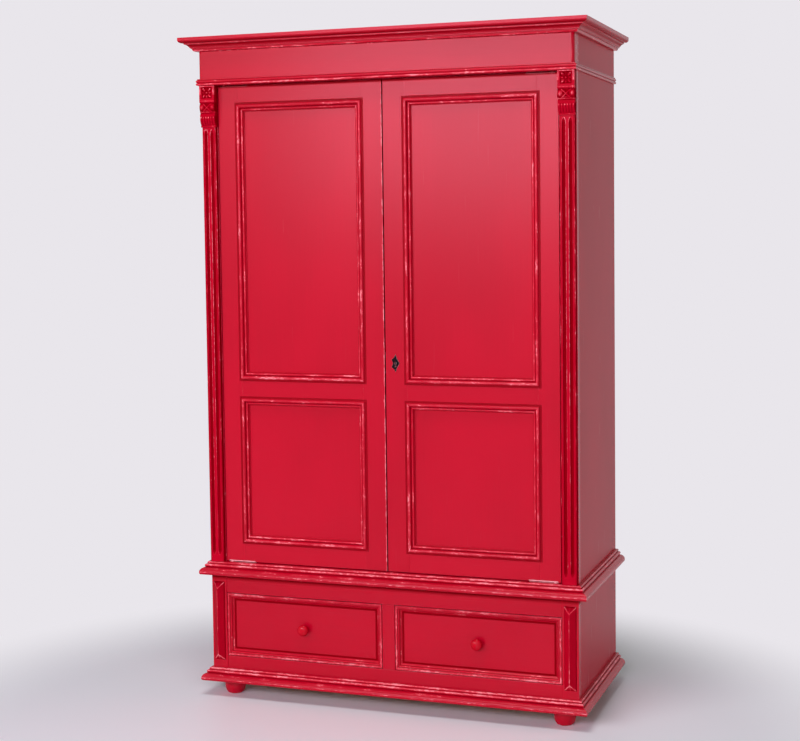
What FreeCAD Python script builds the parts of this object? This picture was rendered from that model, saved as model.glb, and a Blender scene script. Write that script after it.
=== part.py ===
import FreeCAD, Part
import math
import os

# Softwood wardrobe with two framed doors over two drawers.
# Millimetres. +Z is up, the front faces -Y, and the origin is on the floor
# under the middle of the overall box.

V = FreeCAD.Vector
ORIGIN = V(0, 0, 0)
AXIS_X = V(1, 0, 0)
AXIS_Y = V(0, 1, 0)
AXIS_Z = V(0, 0, 1)

# Case
case_width = 1176.0
case_depth = 527.0
foot_height = 50.0
lower_case_height = 355.0
waist_board_thickness = 22.0
upper_case_height = 1583.0
side_thickness = 20.0
post_width = 50.0
post_thickness = 24.0
base_board_thickness = 18.0
top_board_thickness = 20.0
overrun = 1.0

# Round stretches of the mouldings are cut into chords of about this many degrees.
arc_chord_angle = 26.0

# Lower front frame and drawer openings
rail_setback = 1.5
rail_thickness = 24.0
bottom_rail_height = 78.0
drawer_opening_height = 200.0
centre_stile_width = 40.0
divider_thickness = 18.0
runner_width = 30.0
runner_height = 20.0
guide_height = 22.0
guide_clearance = 2.0
slide_clearance = 0.3

# Back boards
back_thickness = 9.0
back_rebate = 9.0
back_board_count = 9
back_gap = 0.8
back_tongue = 6.0
back_tongue_thickness = 3.0

# Bun feet
foot_top_radius = 31.0
foot_belly_radius = 34.0
foot_floor_radius = 21.0
foot_belly_height = 36.0
foot_neck_height = 6.0
foot_steps = 3
foot_inset_x = 53.0
foot_inset_y = 46.0

# Mouldings round the case
base_moulding_height = 39.0
base_moulding_projection = 30.0
waist_moulding_height = 40.0
waist_moulding_projection = 30.0
bead_height = 20.0
bead_projection = 7.0
cornice_height = 40.0
cornice_projection = 47.0

# Frieze, corbels and corner strips
frieze_height = 104.0
frieze_forward = 22.0
frieze_corner_radius = 9.0
post_setback = 3.0
strip_width = 46.0
strip_thickness = 13.0
strip_arris_radius = 3.0
flute_radius = 5.5
flute_depth = 4.6
flute_spacing = 20.0
flute_run_out = 16.0
flute_margin_low = 20.0
flute_margin_high = 4.0
corbel_height = 127.0
corbel_panel_height = 36.0
corbel_panel_margin = 7.0
corbel_panel_depth = 2.4
corbel_panel_drop = 6.0
corbel_boss_height = 2.0
corbel_groove_depth = 2.2
corbel_groove_width = 3.6
corbel_groove_count = 4
corbel_cross_depth = 2.6
corbel_cross_width = 3.4
diamond_width = 37.0
diamond_height = 249.0
diamond_rise = 18.4
diamond_hip = 20.0
diamond_low = 24.5

# Doors
door_gap = 2.5
door_meeting_gap = 4.0
door_floor_gap = 3.0
door_thickness = 23.5
hinge_stile_width = 64.5
meeting_stile_width = 68.0
door_top_rail_height = 60.0
door_middle_rail_height = 67.0
door_bottom_rail_height = 66.0
lower_panel_opening = 443.0
panel_thickness = 8.0
panel_setback = 11.0
panel_tongue = 8.0
panel_play = 1.0
tenon_length = 20.0
tenon_thickness = 8.0
tenon_shoulder = 9.0
panel_moulding_width = 26.5
panel_moulding_lap = 8.0
panel_moulding_rise = 6.5

# Pivot hinges
leaf_length = 88.0
leaf_width = 18.0
leaf_thickness = 3.0
leaf_end_margin = 9.0
pin_edge_distance = 20.0
pin_setback = 7.0
pin_radius = 3.5
pin_clearance = 0.05
pin_collar_radius = 6.0
pin_reach = 8.0
pin_pocket_clearance = 0.5

# Lock in the right door
lock_height = 634.0
lock_case_width = 50.0
lock_case_height = 80.0
lock_case_depth = 17.0
lock_bolt_height = 24.0
lock_bolt_thickness = 8.0
lock_bolt_length = 40.0
lock_bolt_sink = 0.3
lock_travel = 10.0
lock_key_inset = 31.5
lock_wall = 0.3
strike_height = 64.0
strike_width = 16.0
strike_thickness = 2.0
keyhole_radius = 3.4
keyhole_slot = 3.0
keyhole_drop = 11.0
escutcheon_height = 53.0
escutcheon_width = 27.0
escutcheon_thickness = 2.2

# Flush bolts in the left door
flush_bolt_inset = 36.0
flush_case_width = 20.0
flush_case_height = 78.0
flush_case_depth = 9.0
flush_case_plate = 2.0
flush_bolt_width = 10.0
flush_bolt_thickness = 5.0
flush_bolt_length = 66.0
flush_bolt_sink = 0.5
flush_travel = 12.0
flush_clearance = 0.3
flush_knob_radius = 4.0
flush_knob_height = 6.0

# Inside of the upper case
shelf_level = 1213.0
shelf_thickness = 18.0
shelf_front_setback = 61.0
batten_height = 22.0
batten_thickness = 20.0
rail_drop = 55.0
rail_radius = 12.5
cup_radius = 24.0
cup_thickness = 12.0
cup_depth = 9.0
cup_clearance = 0.2
stop_height = 45.0
stop_thickness = 20.0
stop_lap = 22.0
stop_end_gap = 40.0

# Drawers
drawer_clearance = 1.5
drawer_front_setback = 14.0
drawer_front_thickness = 20.0
drawer_side_thickness = 12.0
drawer_side_height = 170.0
drawer_depth = 466.0
drawer_bottom_thickness = 5.0
drawer_bottom_level = 12.0
drawer_groove_depth = 5.0
drawer_back_thickness = 12.0
dovetail_count = 3
dovetail_length = 13.0
dovetail_flare = 4.0
dovetail_width = 30.0
drawer_moulding_width = 19.0
drawer_moulding_rise = 12.5
knob_radius = 17.5
knob_length = 29.0
knob_dome_height = 11.0
knob_dome_start = -62.0
knob_dome_end = 78.0
knob_dome_steps = 8
knob_sides = 24
knob_collar_height = 3.0
knob_base_radius = 9.5
knob_neck_radius = 7.0
knob_tenon_radius = 4.5
knob_tenon_clearance = 0.1

# Places worked out from the sizes above
overall_depth = case_depth + frieze_forward + cornice_projection
half_width = case_width / 2
inner_half = half_width - side_thickness
post_inner = half_width - post_width
y_front = frieze_forward + cornice_projection - overall_depth / 2
y_back = y_front + case_depth
y_back_board = y_back - back_thickness
y_post = y_front + post_setback
y_strip = y_post - strip_thickness
y_post_back = y_post + post_thickness
y_frieze = y_front - frieze_forward
z_case = foot_height
z_waist_under = z_case + lower_case_height
z_waist = z_waist_under + waist_board_thickness
z_case_top = z_waist + upper_case_height
z_frieze = z_case_top - frieze_height
z_drawer = z_case + bottom_rail_height
z_drawer_top = z_drawer + drawer_opening_height
y_rail = y_front + rail_setback
y_rail_back = y_rail + rail_thickness

# Moulding outlines: each row ends a line, or an arc through a point, at
# shares of the projection and of the height. They close on the back face.
cornice_shares = (
    ("line", 0.00, 1.00),
    ("line", 1.00, 1.00),
    ("line", 1.00, 0.77),
    ("arc", 0.94, 0.66, 0.74, 0.60),
    ("line", 0.69, 0.60),
    ("line", 0.69, 0.50),
    ("arc", 0.52, 0.42, 0.42, 0.27),
    ("line", 0.38, 0.27),
    ("line", 0.38, 0.20),
    ("line", 0.29, 0.18),
    ("arc", 0.26, 0.06, 0.12, 0.00),
    ("line", 0.00, 0.00),
)
bead_shares = (
    ("line", 0.00, 1.00),
    ("line", 0.55, 1.00),
    ("line", 0.55, 0.83),
    ("arc", 1.00, 0.61, 0.58, 0.42),
    ("line", 0.50, 0.39),
    ("arc", 1.00, 0.20, 0.50, 0.00),
    ("line", 0.00, 0.00),
)
waist_shares = (
    ("line", 0.00, 1.00),
    ("line", 0.10, 1.00),
    ("line", 0.10, 0.96),
    ("arc", 0.33, 0.88, 0.28, 0.80),
    ("arc", 0.54, 0.71, 0.50, 0.60),
    ("line", 0.44, 0.57),
    ("line", 0.53, 0.54),
    ("arc", 0.90, 0.40, 1.00, 0.22),
    ("line", 1.00, 0.09),
    ("line", 0.92, 0.00),
    ("line", 0.00, 0.00),
)
panel_moulding_shares = (
    ("line", 0.00, 0.08),
    ("arc", 0.40, 1.00, 0.63, 0.15),
    ("line", 0.67, -0.65),
    ("arc", 0.85, -0.25, 0.98, -1.05),
)
drawer_moulding_shares = (
    ("line", 0.00, 0.00),
    ("line", 0.00, 1.00),
    ("line", 0.32, 1.00),
    ("line", 0.36, 0.90),
    ("arc", 0.72, 0.72, 0.88, 0.24),
    ("line", 1.00, 0.16),
    ("line", 1.00, 0.00),
)
# The corbel seen from the side: projection from the post, and height.
corbel_shares = (
    ("line", 0.00, 1.00),
    ("line", 1.00, 1.00),
    ("line", 1.00, 0.60),
    ("line", 0.86, 0.585),
    ("arc", 1.08, 0.47, 0.84, 0.36),
    ("line", 0.73, 0.345),
    ("arc", 0.94, 0.23, 0.58, 0.045),
    ("line", 0.66, 0.035),
    ("line", 0.66, 0.00),
    ("line", 0.00, 0.00),
)
# A lozenge with one plain point, and two small lugs on its other side.
escutcheon_shares = ((0.0, 1.0), (0.36, 0.48), (1.0, 0.0), (0.36, -0.48), (0.0, -1.0),
                     (-0.46, -0.62), (-0.96, -0.46), (-0.58, 0.0), (-0.96, 0.42), (-0.44, 0.60))
petal_shares = ((0.0, 1.0), (0.24, 0.30), (1.0, 0.0), (0.24, -0.30), (0.0, -1.0))


def box(x0, x1, y0, y1, z0, z1):
    return Part.makeBox(x1 - x0, y1 - y0, z1 - z0, V(x0, y0, z0))


def mirrored(shape):
    return shape.mirror(ORIGIN, AXIS_X)


def both_sides(shape):
    return [shape, mirrored(shape)]


def prism(points, run):
    return Part.Face(Part.makePolygon(list(points) + [points[0]])).extrude(run)


def set_in(shape, origin, along, out, up):
    # Turns a shape drawn along X, outward on Y and upward on Z to a place of its own.
    frame = FreeCAD.Matrix(along.x, out.x, up.x, origin.x,
                           along.y, out.y, up.y, origin.y,
                           along.z, out.z, up.z, origin.z,
                           0, 0, 0, 1)
    placed = shape.copy()
    placed.Placement = FreeCAD.Placement(frame).multiply(placed.Placement)
    return placed


def chords(start, middle, end):
    # The points of an arc through three points in the YZ plane, after the first.
    arc = Part.Arc(start, middle, end).toShape()
    turn = math.degrees(arc.Length / arc.Curve.Radius)
    count = max(2, round(turn / arc_chord_angle))
    return arc.discretize(count + 1)[1:]


def outline(rows, depth, height):
    # A closed face in the YZ plane from rows of shares of the depth and the height.
    points = []
    for row in rows:
        end = V(0, row[-2] * depth, row[-1] * height)
        if row[0] == "arc":
            points += chords(points[-1], V(0, row[1] * depth, row[2] * height), end)
        else:
            points.append(end)
    return Part.Face(Part.makePolygon(points + [points[0]]))


def turned(points):
    # A solid of revolution about the Z axis from pairs of radius and height.
    profile = [V(radius, 0, z) for radius, z in points]
    return Part.Face(Part.makePolygon(profile + [profile[0]])).revolve(ORIGIN, AXIS_Z, 360)


def turned_in_sides(points, sides):
    # The same for small pieces, with so many flat sides all round.
    rings = []
    for radius, z in points:
        turns = [2 * math.pi * side / sides for side in range(sides)]
        ring = [V(radius * math.cos(turn), radius * math.sin(turn), z) for turn in turns]
        rings.append(ring + [ring[0]])
    loops = [rings[0], rings[-1]]
    for low, high in zip(rings, rings[1:]):
        loops += [[low[side], low[side + 1], high[side + 1], high[side], low[side]] for side in range(sides)]
    return Part.makeSolid(Part.makeShell([Part.Face(Part.makePolygon(loop)) for loop in loops]))


def mitred(face, length, start, end, reach):
    # A bar of one section along X. start and end say how far each unit outward
    # lengthens that end: 1 on an outer corner, -1 on an inner one, 0 when square.
    bounds = face.BoundBox
    low = bounds.YMin - overrun
    high = bounds.YMax + overrun
    bar = face.extrude(V(length + reach + reach, 0, 0))
    bar.translate(V(-reach, 0, 0))
    plan = [V(-start * low, low, 0), V(length + end * low, low, 0),
            V(length + end * high, high, 0), V(-start * high, high, 0)]
    cutter = prism(plan, V(0, 0, bounds.ZLength + overrun + overrun))
    cutter.translate(V(0, 0, bounds.ZMin - overrun))
    return bar.common(cutter)


def case_moulding(face, projection, y_face, z_low):
    # Front length and two returns, mitred at the front corners.
    depth = y_back - y_face
    front = mitred(face, case_width, 1, 1, projection + overrun)
    side = mitred(face, depth, 0, 1, projection + overrun)
    front = set_in(front, V(half_width, y_face, z_low), -AXIS_X, -AXIS_Y, AXIS_Z)
    right = set_in(side, V(half_width, y_back, z_low), -AXIS_Y, AXIS_X, AXIS_Z)
    return [front, right, mirrored(right)]


def frame_moulding(face, x0, x1, z0, z1, y_face):
    # Four mitred lengths round a rectangle that faces the front.
    width = x1 - x0
    height = z1 - z0
    reach = face.BoundBox.YMax + overrun
    level = mitred(face, width, -1, -1, reach)
    upright = mitred(face, height, -1, -1, reach)
    return [set_in(level, V(x0, y_face, z0), AXIS_X, AXIS_Z, -AXIS_Y),
            set_in(upright, V(x1, y_face, z0), AXIS_Z, -AXIS_X, -AXIS_Y),
            set_in(level, V(x1, y_face, z1), -AXIS_X, -AXIS_Z, -AXIS_Y),
            set_in(upright, V(x0, y_face, z1), -AXIS_Z, AXIS_X, -AXIS_Y)]


def bun_feet():
    # A squat ball foot that swells from its sole to a belly near the top.
    profile = [(0, 0)]
    for step in range(foot_steps + 1):
        turn = math.radians(90 * step / foot_steps)
        radius = foot_floor_radius + (foot_belly_radius - foot_floor_radius) * math.sin(turn)
        profile.append((radius, foot_belly_height * (1 - math.cos(turn))))
    profile += [(foot_top_radius, foot_height - foot_neck_height), (foot_top_radius, foot_height),
                (0, foot_height)]
    foot = turned(profile)
    feet = []
    for x in (foot_inset_x - half_width, half_width - foot_inset_x):
        for y in (y_front + foot_inset_y, y_back - foot_inset_y):
            placed = foot.copy()
            placed.translate(V(x, y, 0))
            feet.append(placed)
    return feet


def lower_side_right():
    board = box(inner_half, half_width, y_front + post_thickness, y_back, z_case, z_waist_under)
    rebate = box(inner_half - overrun, inner_half + back_rebate, y_back_board, y_back + overrun,
                 z_case - overrun, z_waist_under + overrun)
    return board.cut(rebate)


def upper_side_right():
    board = box(inner_half, half_width, y_post_back, y_back, z_waist, z_case_top)
    rebate = box(inner_half - overrun, inner_half + back_rebate, y_back_board, y_back + overrun,
                 z_waist - overrun, z_case_top + overrun)
    return board.cut(rebate)


def diamond_strip():
    # A raised strip with two long and two hipped facets meeting in a ridge.
    middle = half_width - post_width / 2
    x0 = middle - diamond_width / 2
    x1 = middle + diamond_width / 2
    z0 = z_case + base_moulding_height + diamond_low
    z1 = z0 + diamond_height
    base = [V(x0, y_front, z0), V(x1, y_front, z0), V(x1, y_front, z1), V(x0, y_front, z1)]
    low = V(middle, y_front - diamond_rise, z0 + diamond_hip)
    high = V(middle, y_front - diamond_rise, z1 - diamond_hip)
    loops = ([base[0], base[1], base[2], base[3]], [base[0], base[1], low],
             [base[1], base[2], high, low], [base[2], base[3], high], [base[3], base[0], low, high])
    faces = [Part.Face(Part.makePolygon(loop + [loop[0]])) for loop in loops]
    return Part.makeSolid(Part.makeShell(faces))


def lower_front_rails():
    bottom = box(-post_inner, post_inner, y_rail, y_rail_back, z_case, z_drawer)
    top = box(-post_inner, post_inner, y_rail, y_rail_back, z_drawer_top, z_waist_under)
    half_stile = centre_stile_width / 2
    stile = box(-half_stile, half_stile, y_rail, y_rail_back, z_drawer, z_drawer_top)
    return bottom, top, stile


def drawer_runners():
    # Under each drawer side a runner, and beside it a guide that stands on the runner.
    y0 = y_rail_back
    y1 = y_back_board
    half_divider = divider_thickness / 2
    inner_edge = centre_stile_width / 2 - guide_clearance / 2
    outer_edge = post_inner + guide_clearance / 2
    solids = []
    for x0, x1, g0, g1 in ((half_divider, inner_edge + runner_width, half_divider, inner_edge),
                           (outer_edge - runner_width, inner_half, outer_edge, inner_half)):
        runner = box(x0, x1, y0, y1, z_drawer - runner_height, z_drawer)
        guide = box(g0, g1, y0, y1, z_drawer, z_drawer + guide_height)
        solids += both_sides(runner) + both_sides(guide)
    return solids


def drawer_divider():
    half_divider = divider_thickness / 2
    return box(-half_divider, half_divider, y_rail_back, y_back_board,
               z_case + base_board_thickness, z_waist_under)


def flute_cutter(x, z0, z1):
    # A round groove whose ends rise out of the face like a lamb's tongue.
    y_axis = y_strip + flute_depth - flute_radius
    y_clear = y_axis - flute_depth
    run = [V(x, y_clear, z0), V(x, y_axis, z0 + flute_run_out),
           V(x, y_axis, z1 - flute_run_out), V(x, y_clear, z1)]
    section = Part.Wire(Part.makeCircle(flute_radius, run[0], run[1].sub(run[0])))
    return Part.makePolygon(run).makePipeShell([section], True, False, 1)


def fluted_strip():
    # Planted on the post, with rounded outer arrises and a flat fillet between its two flutes.
    z_top = z_frieze - corbel_height
    middle = half_width - post_width / 2
    half_strip = strip_width / 2
    half_spacing = flute_spacing / 2
    strip = box(middle - half_strip, middle + half_strip, y_strip, y_post, z_waist, z_top)
    arrises = [edge for edge in strip.Edges
               if edge.BoundBox.ZLength > strip_width and edge.BoundBox.YMax < y_strip + overrun]
    strip = strip.makeFillet(strip_arris_radius, arrises)
    for x in (middle - half_spacing, middle + half_spacing):
        strip = strip.cut(flute_cutter(x, z_waist + flute_margin_low, z_top - flute_margin_high))
    return strip


def v_groove(width, depth, length, origin, along, out):
    # A groove with a V section, open towards out.
    half = width / 2
    across = along.cross(out)
    tip = origin.sub(V(out.x * depth, out.y * depth, out.z * depth))
    left = origin.sub(V(across.x * half, across.y * half, across.z * half))
    right = origin.add(V(across.x * half, across.y * half, across.z * half))
    rise = V(out.x * depth, out.y * depth, out.z * depth)
    face = [tip, left, left.add(rise), right.add(rise), right]
    run = V(along.x * length, along.y * length, along.z * length)
    return prism(face, run)


def corbel():
    # Scrolled in three lobes: a sunken carved panel over a crossed roll over a fluted roll.
    projection = y_post - y_frieze
    z_low = z_frieze - corbel_height
    face = outline(corbel_shares, projection, corbel_height)
    body = face.extrude(V(post_width, 0, 0))
    body = set_in(body, V(half_width, y_post, z_low), -AXIS_X, -AXIS_Y, AXIS_Z)
    middle = half_width - post_width / 2

    # The sunken panel and its four petals
    panel_half = post_width / 2 - corbel_panel_margin
    panel_top = z_frieze - corbel_panel_drop
    panel_low = panel_top - corbel_panel_height
    y_floor = y_frieze + corbel_panel_depth
    sunk = box(middle - panel_half, middle + panel_half, y_frieze - overrun, y_floor, panel_low, panel_top)
    body = body.cut(sunk)
    z_boss = (panel_top + panel_low) / 2
    half_height = corbel_panel_height / 2
    outer = [V(middle + a * panel_half, y_floor, z_boss + b * half_height) for a, b in petal_shares]
    outer += [V(middle - a * panel_half, y_floor, z_boss + b * half_height) for a, b in petal_shares[-2:0:-1]]
    peak = V(middle, y_floor - corbel_boss_height, z_boss)
    ring = outer + [outer[0]]
    faces = [Part.Face(Part.makePolygon([a, b, peak, a])) for a, b in zip(ring, ring[1:])]
    faces.append(Part.Face(Part.makePolygon(ring)))
    body = body.fuse(Part.makeSolid(Part.makeShell(faces)))

    # Two crossed grooves on the middle roll
    lobes = (corbel_shares[3], corbel_shares[4], corbel_shares[6])
    z_cross = z_low + lobes[1][2] * corbel_height
    y_cross = y_post - lobes[1][1] * projection
    rise = (lobes[0][2] - lobes[1][2]) * corbel_height * 2
    length = math.hypot(post_width, rise)
    for sign in (-1, 1):
        start = V(middle - post_width / 2, y_cross, z_cross - sign * rise / 2)
        along = V(post_width / length, 0, sign * rise / length)
        body = body.cut(v_groove(corbel_cross_width, corbel_cross_depth, length, start, along, -AXIS_Y))

    # Upright flutes on the lowest roll
    z_roll = z_low + lobes[2][-1] * corbel_height
    y_roll = y_post - lobes[2][-2] * projection
    top = V(0, y_post - corbel_shares[5][1] * projection, z_low + corbel_shares[5][2] * corbel_height)
    fall = V(0, y_roll, z_roll).sub(top)
    along = V(0, fall.y / fall.Length, fall.z / fall.Length)
    out = V(0, along.z, -along.y)
    bulge = corbel_groove_depth * 2
    spacing = post_width / (corbel_groove_count + 1)
    for index in range(corbel_groove_count):
        x = half_width - post_width + spacing * (index + 1)
        start = V(x + out.x * bulge, top.y + out.y * bulge, top.z + out.z * bulge)
        cut = v_groove(corbel_groove_width, corbel_groove_depth + corbel_groove_depth, fall.Length,
                       start, along, out)
        body = body.cut(cut)
    return body


def frieze_board():
    board = box(-half_width, half_width, y_frieze, y_post, z_frieze, z_case_top)
    front = [edge for edge in board.Edges
             if edge.BoundBox.ZLength > frieze_height / 2 and edge.BoundBox.YMin < y_frieze + overrun]
    return board.makeFillet(frieze_corner_radius, front)


def upper_top_rail():
    rail = box(-post_inner, post_inner, y_post, y_post_back, z_frieze, z_case_top)
    rail = rail.cut(leaf_blank(z_frieze, z_frieze + leaf_thickness, 1))
    rail = rail.cut(mirrored(leaf_blank(z_frieze, z_frieze + leaf_thickness, 1)))
    return rail.cut(flush_bolt_hole(z_frieze - overrun, z_frieze + flush_travel + overrun))


def back_boards():
    # Upright boards, tongued on one edge and grooved on the other.
    half_back = inner_half + back_rebate
    pitch = half_back * 2 / back_board_count
    tongue = back_tongue_thickness
    y_tongue = (y_back_board + y_back - tongue) / 2
    boards = []
    for index in range(back_board_count):
        x0 = index * pitch - half_back
        x1 = x0 + pitch - (back_gap if index < back_board_count - 1 else 0)
        board = box(x0, x1, y_back_board, y_back, z_case, z_case_top)
        if index > 0:
            groove_end = x0 + back_tongue + back_gap
            board = board.cut(box(x0 - overrun, groove_end, y_tongue, y_tongue + tongue,
                                  z_case - overrun, z_case_top + overrun))
        if index < back_board_count - 1:
            board = board.fuse(box(x1, x1 + back_tongue, y_tongue, y_tongue + tongue, z_case, z_case_top))
        boards.append(board.removeSplitter())
    return boards


def waist_board():
    board = box(-half_width, half_width, y_front, y_back, z_waist_under, z_waist)
    half_back = inner_half + back_rebate
    board = board.cut(box(-half_back, half_back, y_back_board, y_back + overrun,
                          z_waist_under - overrun, z_waist + overrun))
    leaf = leaf_blank(z_waist - leaf_thickness, z_waist, 1)
    board = board.cut(leaf).cut(mirrored(leaf))
    return board.cut(flush_bolt_hole(z_waist - flush_travel - overrun, z_waist + overrun))


def pin_place():
    return post_inner - pin_edge_distance, y_post + pin_setback


def leaf_blank(z0, z1, scale):
    # The room of one hinge leaf, the same on the case and on the door.
    x_pin = pin_place()[0]
    x1 = x_pin + leaf_end_margin * scale
    return box(x1 - leaf_length, x1, y_post, y_post + leaf_width, z0, z1)


def frame_leaf(z_face, up):
    # A plate let into the case with a collared pin that stands out of it, up or down.
    x_pin, y_pin = pin_place()
    plate_end = z_face - up * leaf_thickness
    plate = leaf_blank(min(z_face, plate_end), max(z_face, plate_end), 1)
    seat = door_floor_gap - slide_clearance
    collar = Part.makeCylinder(pin_collar_radius, seat, V(x_pin, y_pin, z_face), AXIS_Z * up)
    pin = Part.makeCylinder(pin_radius, door_floor_gap + leaf_thickness + pin_reach,
                            V(x_pin, y_pin, z_face), AXIS_Z * up)
    return plate.fuse(collar).fuse(pin).removeSplitter()


def hinge_frame_leaves():
    low = frame_leaf(z_waist, 1)
    high = frame_leaf(z_frieze, -1)
    return both_sides(low) + both_sides(high)


def door_levels():
    z0 = z_waist + door_floor_gap
    z1 = z_frieze - door_floor_gap
    lower_top = z0 + door_bottom_rail_height + lower_panel_opening
    upper_low = lower_top + door_middle_rail_height
    return z0, z0 + door_bottom_rail_height, lower_top, upper_low, z1 - door_top_rail_height, z1


def door_edges():
    x0 = door_meeting_gap / 2
    x3 = post_inner - door_gap
    return x0, x0 + meeting_stile_width, x3 - hinge_stile_width, x3


def door_leaves():
    # The door's own two leaves, let flush into its lower and upper edge.
    x_pin, y_pin = pin_place()
    z0, _, _, _, _, z1 = door_levels()
    leaves = []
    for low, high in ((z0, z0 + leaf_thickness), (z1 - leaf_thickness, z1)):
        bore = Part.makeCylinder(pin_radius + pin_clearance, leaf_thickness + overrun + overrun,
                                 V(x_pin, y_pin, low - overrun), AXIS_Z)
        leaves.append(leaf_blank(low, high, 1).cut(bore))
    return leaves


def door_hinge_room():
    # What the leaves and pins take out of the wood.
    x_pin, y_pin = pin_place()
    z0, _, _, _, _, z1 = door_levels()
    radius = pin_radius + pin_pocket_clearance
    depth = leaf_thickness + pin_reach + pin_pocket_clearance
    room = leaf_blank(z0 - overrun, z0 + leaf_thickness, 1)
    room = room.fuse(leaf_blank(z1 - leaf_thickness, z1 + overrun, 1))
    room = room.fuse(Part.makeCylinder(radius, depth, V(x_pin, y_pin, z0), AXIS_Z))
    return room.fuse(Part.makeCylinder(radius, depth, V(x_pin, y_pin, z1 - depth), AXIS_Z))


def door_frame():
    # Right-hand door: two stiles, and three rails tenoned into them.
    x0, x1, x2, x3 = door_edges()
    z0, z1, z2, z3, z4, z5 = door_levels()
    y0 = y_post
    y1 = y_post + door_thickness
    y_groove = y_post + panel_setback
    y_tenon = y_groove + (panel_thickness - tenon_thickness) / 2
    groove = [box(x1 - panel_tongue, x2 + panel_tongue, y_groove, y_groove + panel_thickness,
                  low - panel_tongue, high + panel_tongue) for low, high in ((z1, z2), (z3, z4))]
    rails = []
    tenons = []
    for low, high in ((z0, z1), (z2, z3), (z4, z5)):
        tenon = box(x1 - tenon_length, x2 + tenon_length, y_tenon, y_tenon + tenon_thickness,
                    low + tenon_shoulder, high - tenon_shoulder)
        rail = box(x1, x2, y0, y1, low, high)
        for cut in groove:
            rail = rail.cut(cut)
        rails.append(rail.fuse(tenon).removeSplitter())
        tenons.append(tenon)
    stiles = [box(x0, x1, y0, y1, z0, z5), box(x2, x3, y0, y1, z0, z5)]
    for cut in groove + tenons:
        stiles = [stile.cut(cut) for stile in stiles]
    room = door_hinge_room()
    stiles[1] = stiles[1].cut(room)
    rails[0] = rails[0].cut(room)
    rails[2] = rails[2].cut(room)
    return stiles, rails


def door_panels():
    x0, x1, x2, x3 = door_edges()
    z0, z1, z2, z3, z4, z5 = door_levels()
    y0 = y_post + panel_setback
    tongue = panel_tongue - panel_play
    return [box(x1 - tongue, x2 + tongue, y0, y0 + panel_thickness, low - tongue, high + tongue)
            for low, high in ((z1, z2), (z3, z4))]


def panel_moulding_face():
    # The roll and bead over the door's face, and a rebate that seats on frame and panel.
    lap = panel_moulding_lap
    points = [V(0, panel_moulding_width, 0), V(0, lap, 0), V(0, lap, panel_setback), V(0, 0, panel_setback)]
    for row in panel_moulding_shares:
        places = [V(0, row[i] * panel_moulding_width, panel_setback + row[i + 1] * panel_moulding_rise)
                  for i in range(1, len(row), 2)]
        points += chords(points[-1], *places) if row[0] == "arc" else places
    return Part.Face(Part.makePolygon(points + [points[0]]))


def door_mouldings():
    x0, x1, x2, x3 = door_edges()
    z0, z1, z2, z3, z4, z5 = door_levels()
    face = panel_moulding_face()
    lap = panel_moulding_lap
    y_panel = y_post + panel_setback
    return (frame_moulding(face, x1 - lap, x2 + lap, z1 - lap, z2 + lap, y_panel)
            + frame_moulding(face, x1 - lap, x2 + lap, z3 - lap, z4 + lap, y_panel))


def keyhole(x, z, y0, y1):
    hole = Part.makeCylinder(keyhole_radius, y1 - y0, V(x, y0, z), AXIS_Y)
    half = keyhole_slot / 2
    return hole.fuse(box(x - half, x + half, y0, y1, z - keyhole_drop, z))


def lock_places():
    x_edge = door_edges()[0]
    y_back_face = y_post + door_thickness
    y_case = y_back_face - lock_case_depth
    y_bolt = y_case + (lock_case_depth - lock_bolt_thickness) / 2
    return x_edge, y_case, y_back_face, y_bolt, z_waist + lock_height


def lock_case():
    x0, y0, y1, y_bolt, z = lock_places()
    half = lock_case_height / 2
    case = box(x0, x0 + lock_case_width, y0, y1, z - half, z + half)
    half_bolt = lock_bolt_height / 2 + lock_wall
    channel = box(x0 - overrun, x0 + lock_bolt_sink + lock_bolt_length + lock_wall,
                  y_bolt - lock_wall, y_bolt + lock_bolt_thickness + lock_wall, z - half_bolt, z + half_bolt)
    return case.cut(channel).cut(keyhole(x0 + lock_key_inset, z, y0 - overrun, y_bolt))


def lock_bolt():
    x0, y0, y1, y_bolt, z = lock_places()
    half = lock_bolt_height / 2
    start = x0 + lock_bolt_sink
    return box(start, start + lock_bolt_length, y_bolt, y_bolt + lock_bolt_thickness, z - half, z + half)


def strike_plate():
    # On the left door's meeting edge, with the slot that takes the lock bolt.
    x0, y0, y1, y_bolt, z = lock_places()
    half = strike_height / 2
    y_mid = y_bolt + lock_bolt_thickness / 2
    plate = box(-x0 - strike_thickness, -x0, y_mid - strike_width / 2, y_mid + strike_width / 2,
                z - half, z + half)
    return plate, plate.cut(strike_slot())


def strike_slot():
    x0, y0, y1, y_bolt, z = lock_places()
    half = lock_bolt_height / 2 + overrun
    depth = lock_travel + strike_thickness + overrun
    return box(-x0 - depth, -x0 + overrun, y_bolt - overrun, y_bolt + lock_bolt_thickness + overrun,
               z - half, z + half)


def escutcheon():
    x0, y0, y1, y_bolt, z = lock_places()
    x = x0 + lock_key_inset
    ring = [V(x + a * escutcheon_width / 2, y_post, z + b * escutcheon_height / 2)
            for a, b in escutcheon_shares]
    plate = prism(ring, V(0, -escutcheon_thickness, 0))
    return plate.cut(keyhole(x, z, y_post - escutcheon_thickness - overrun, y_post + overrun))


def flush_bolt_axis():
    return -(door_edges()[0] + flush_bolt_inset)


def flush_bolt_y():
    return y_post + door_thickness - flush_case_depth + flush_case_plate


def flush_bolt_hole(z0, z1):
    x = flush_bolt_axis()
    half = flush_bolt_width / 2 + flush_clearance
    y0 = flush_bolt_y()
    return box(x - half, x + half, y0 - flush_clearance, y0 + flush_bolt_thickness + flush_clearance, z0, z1)


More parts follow.
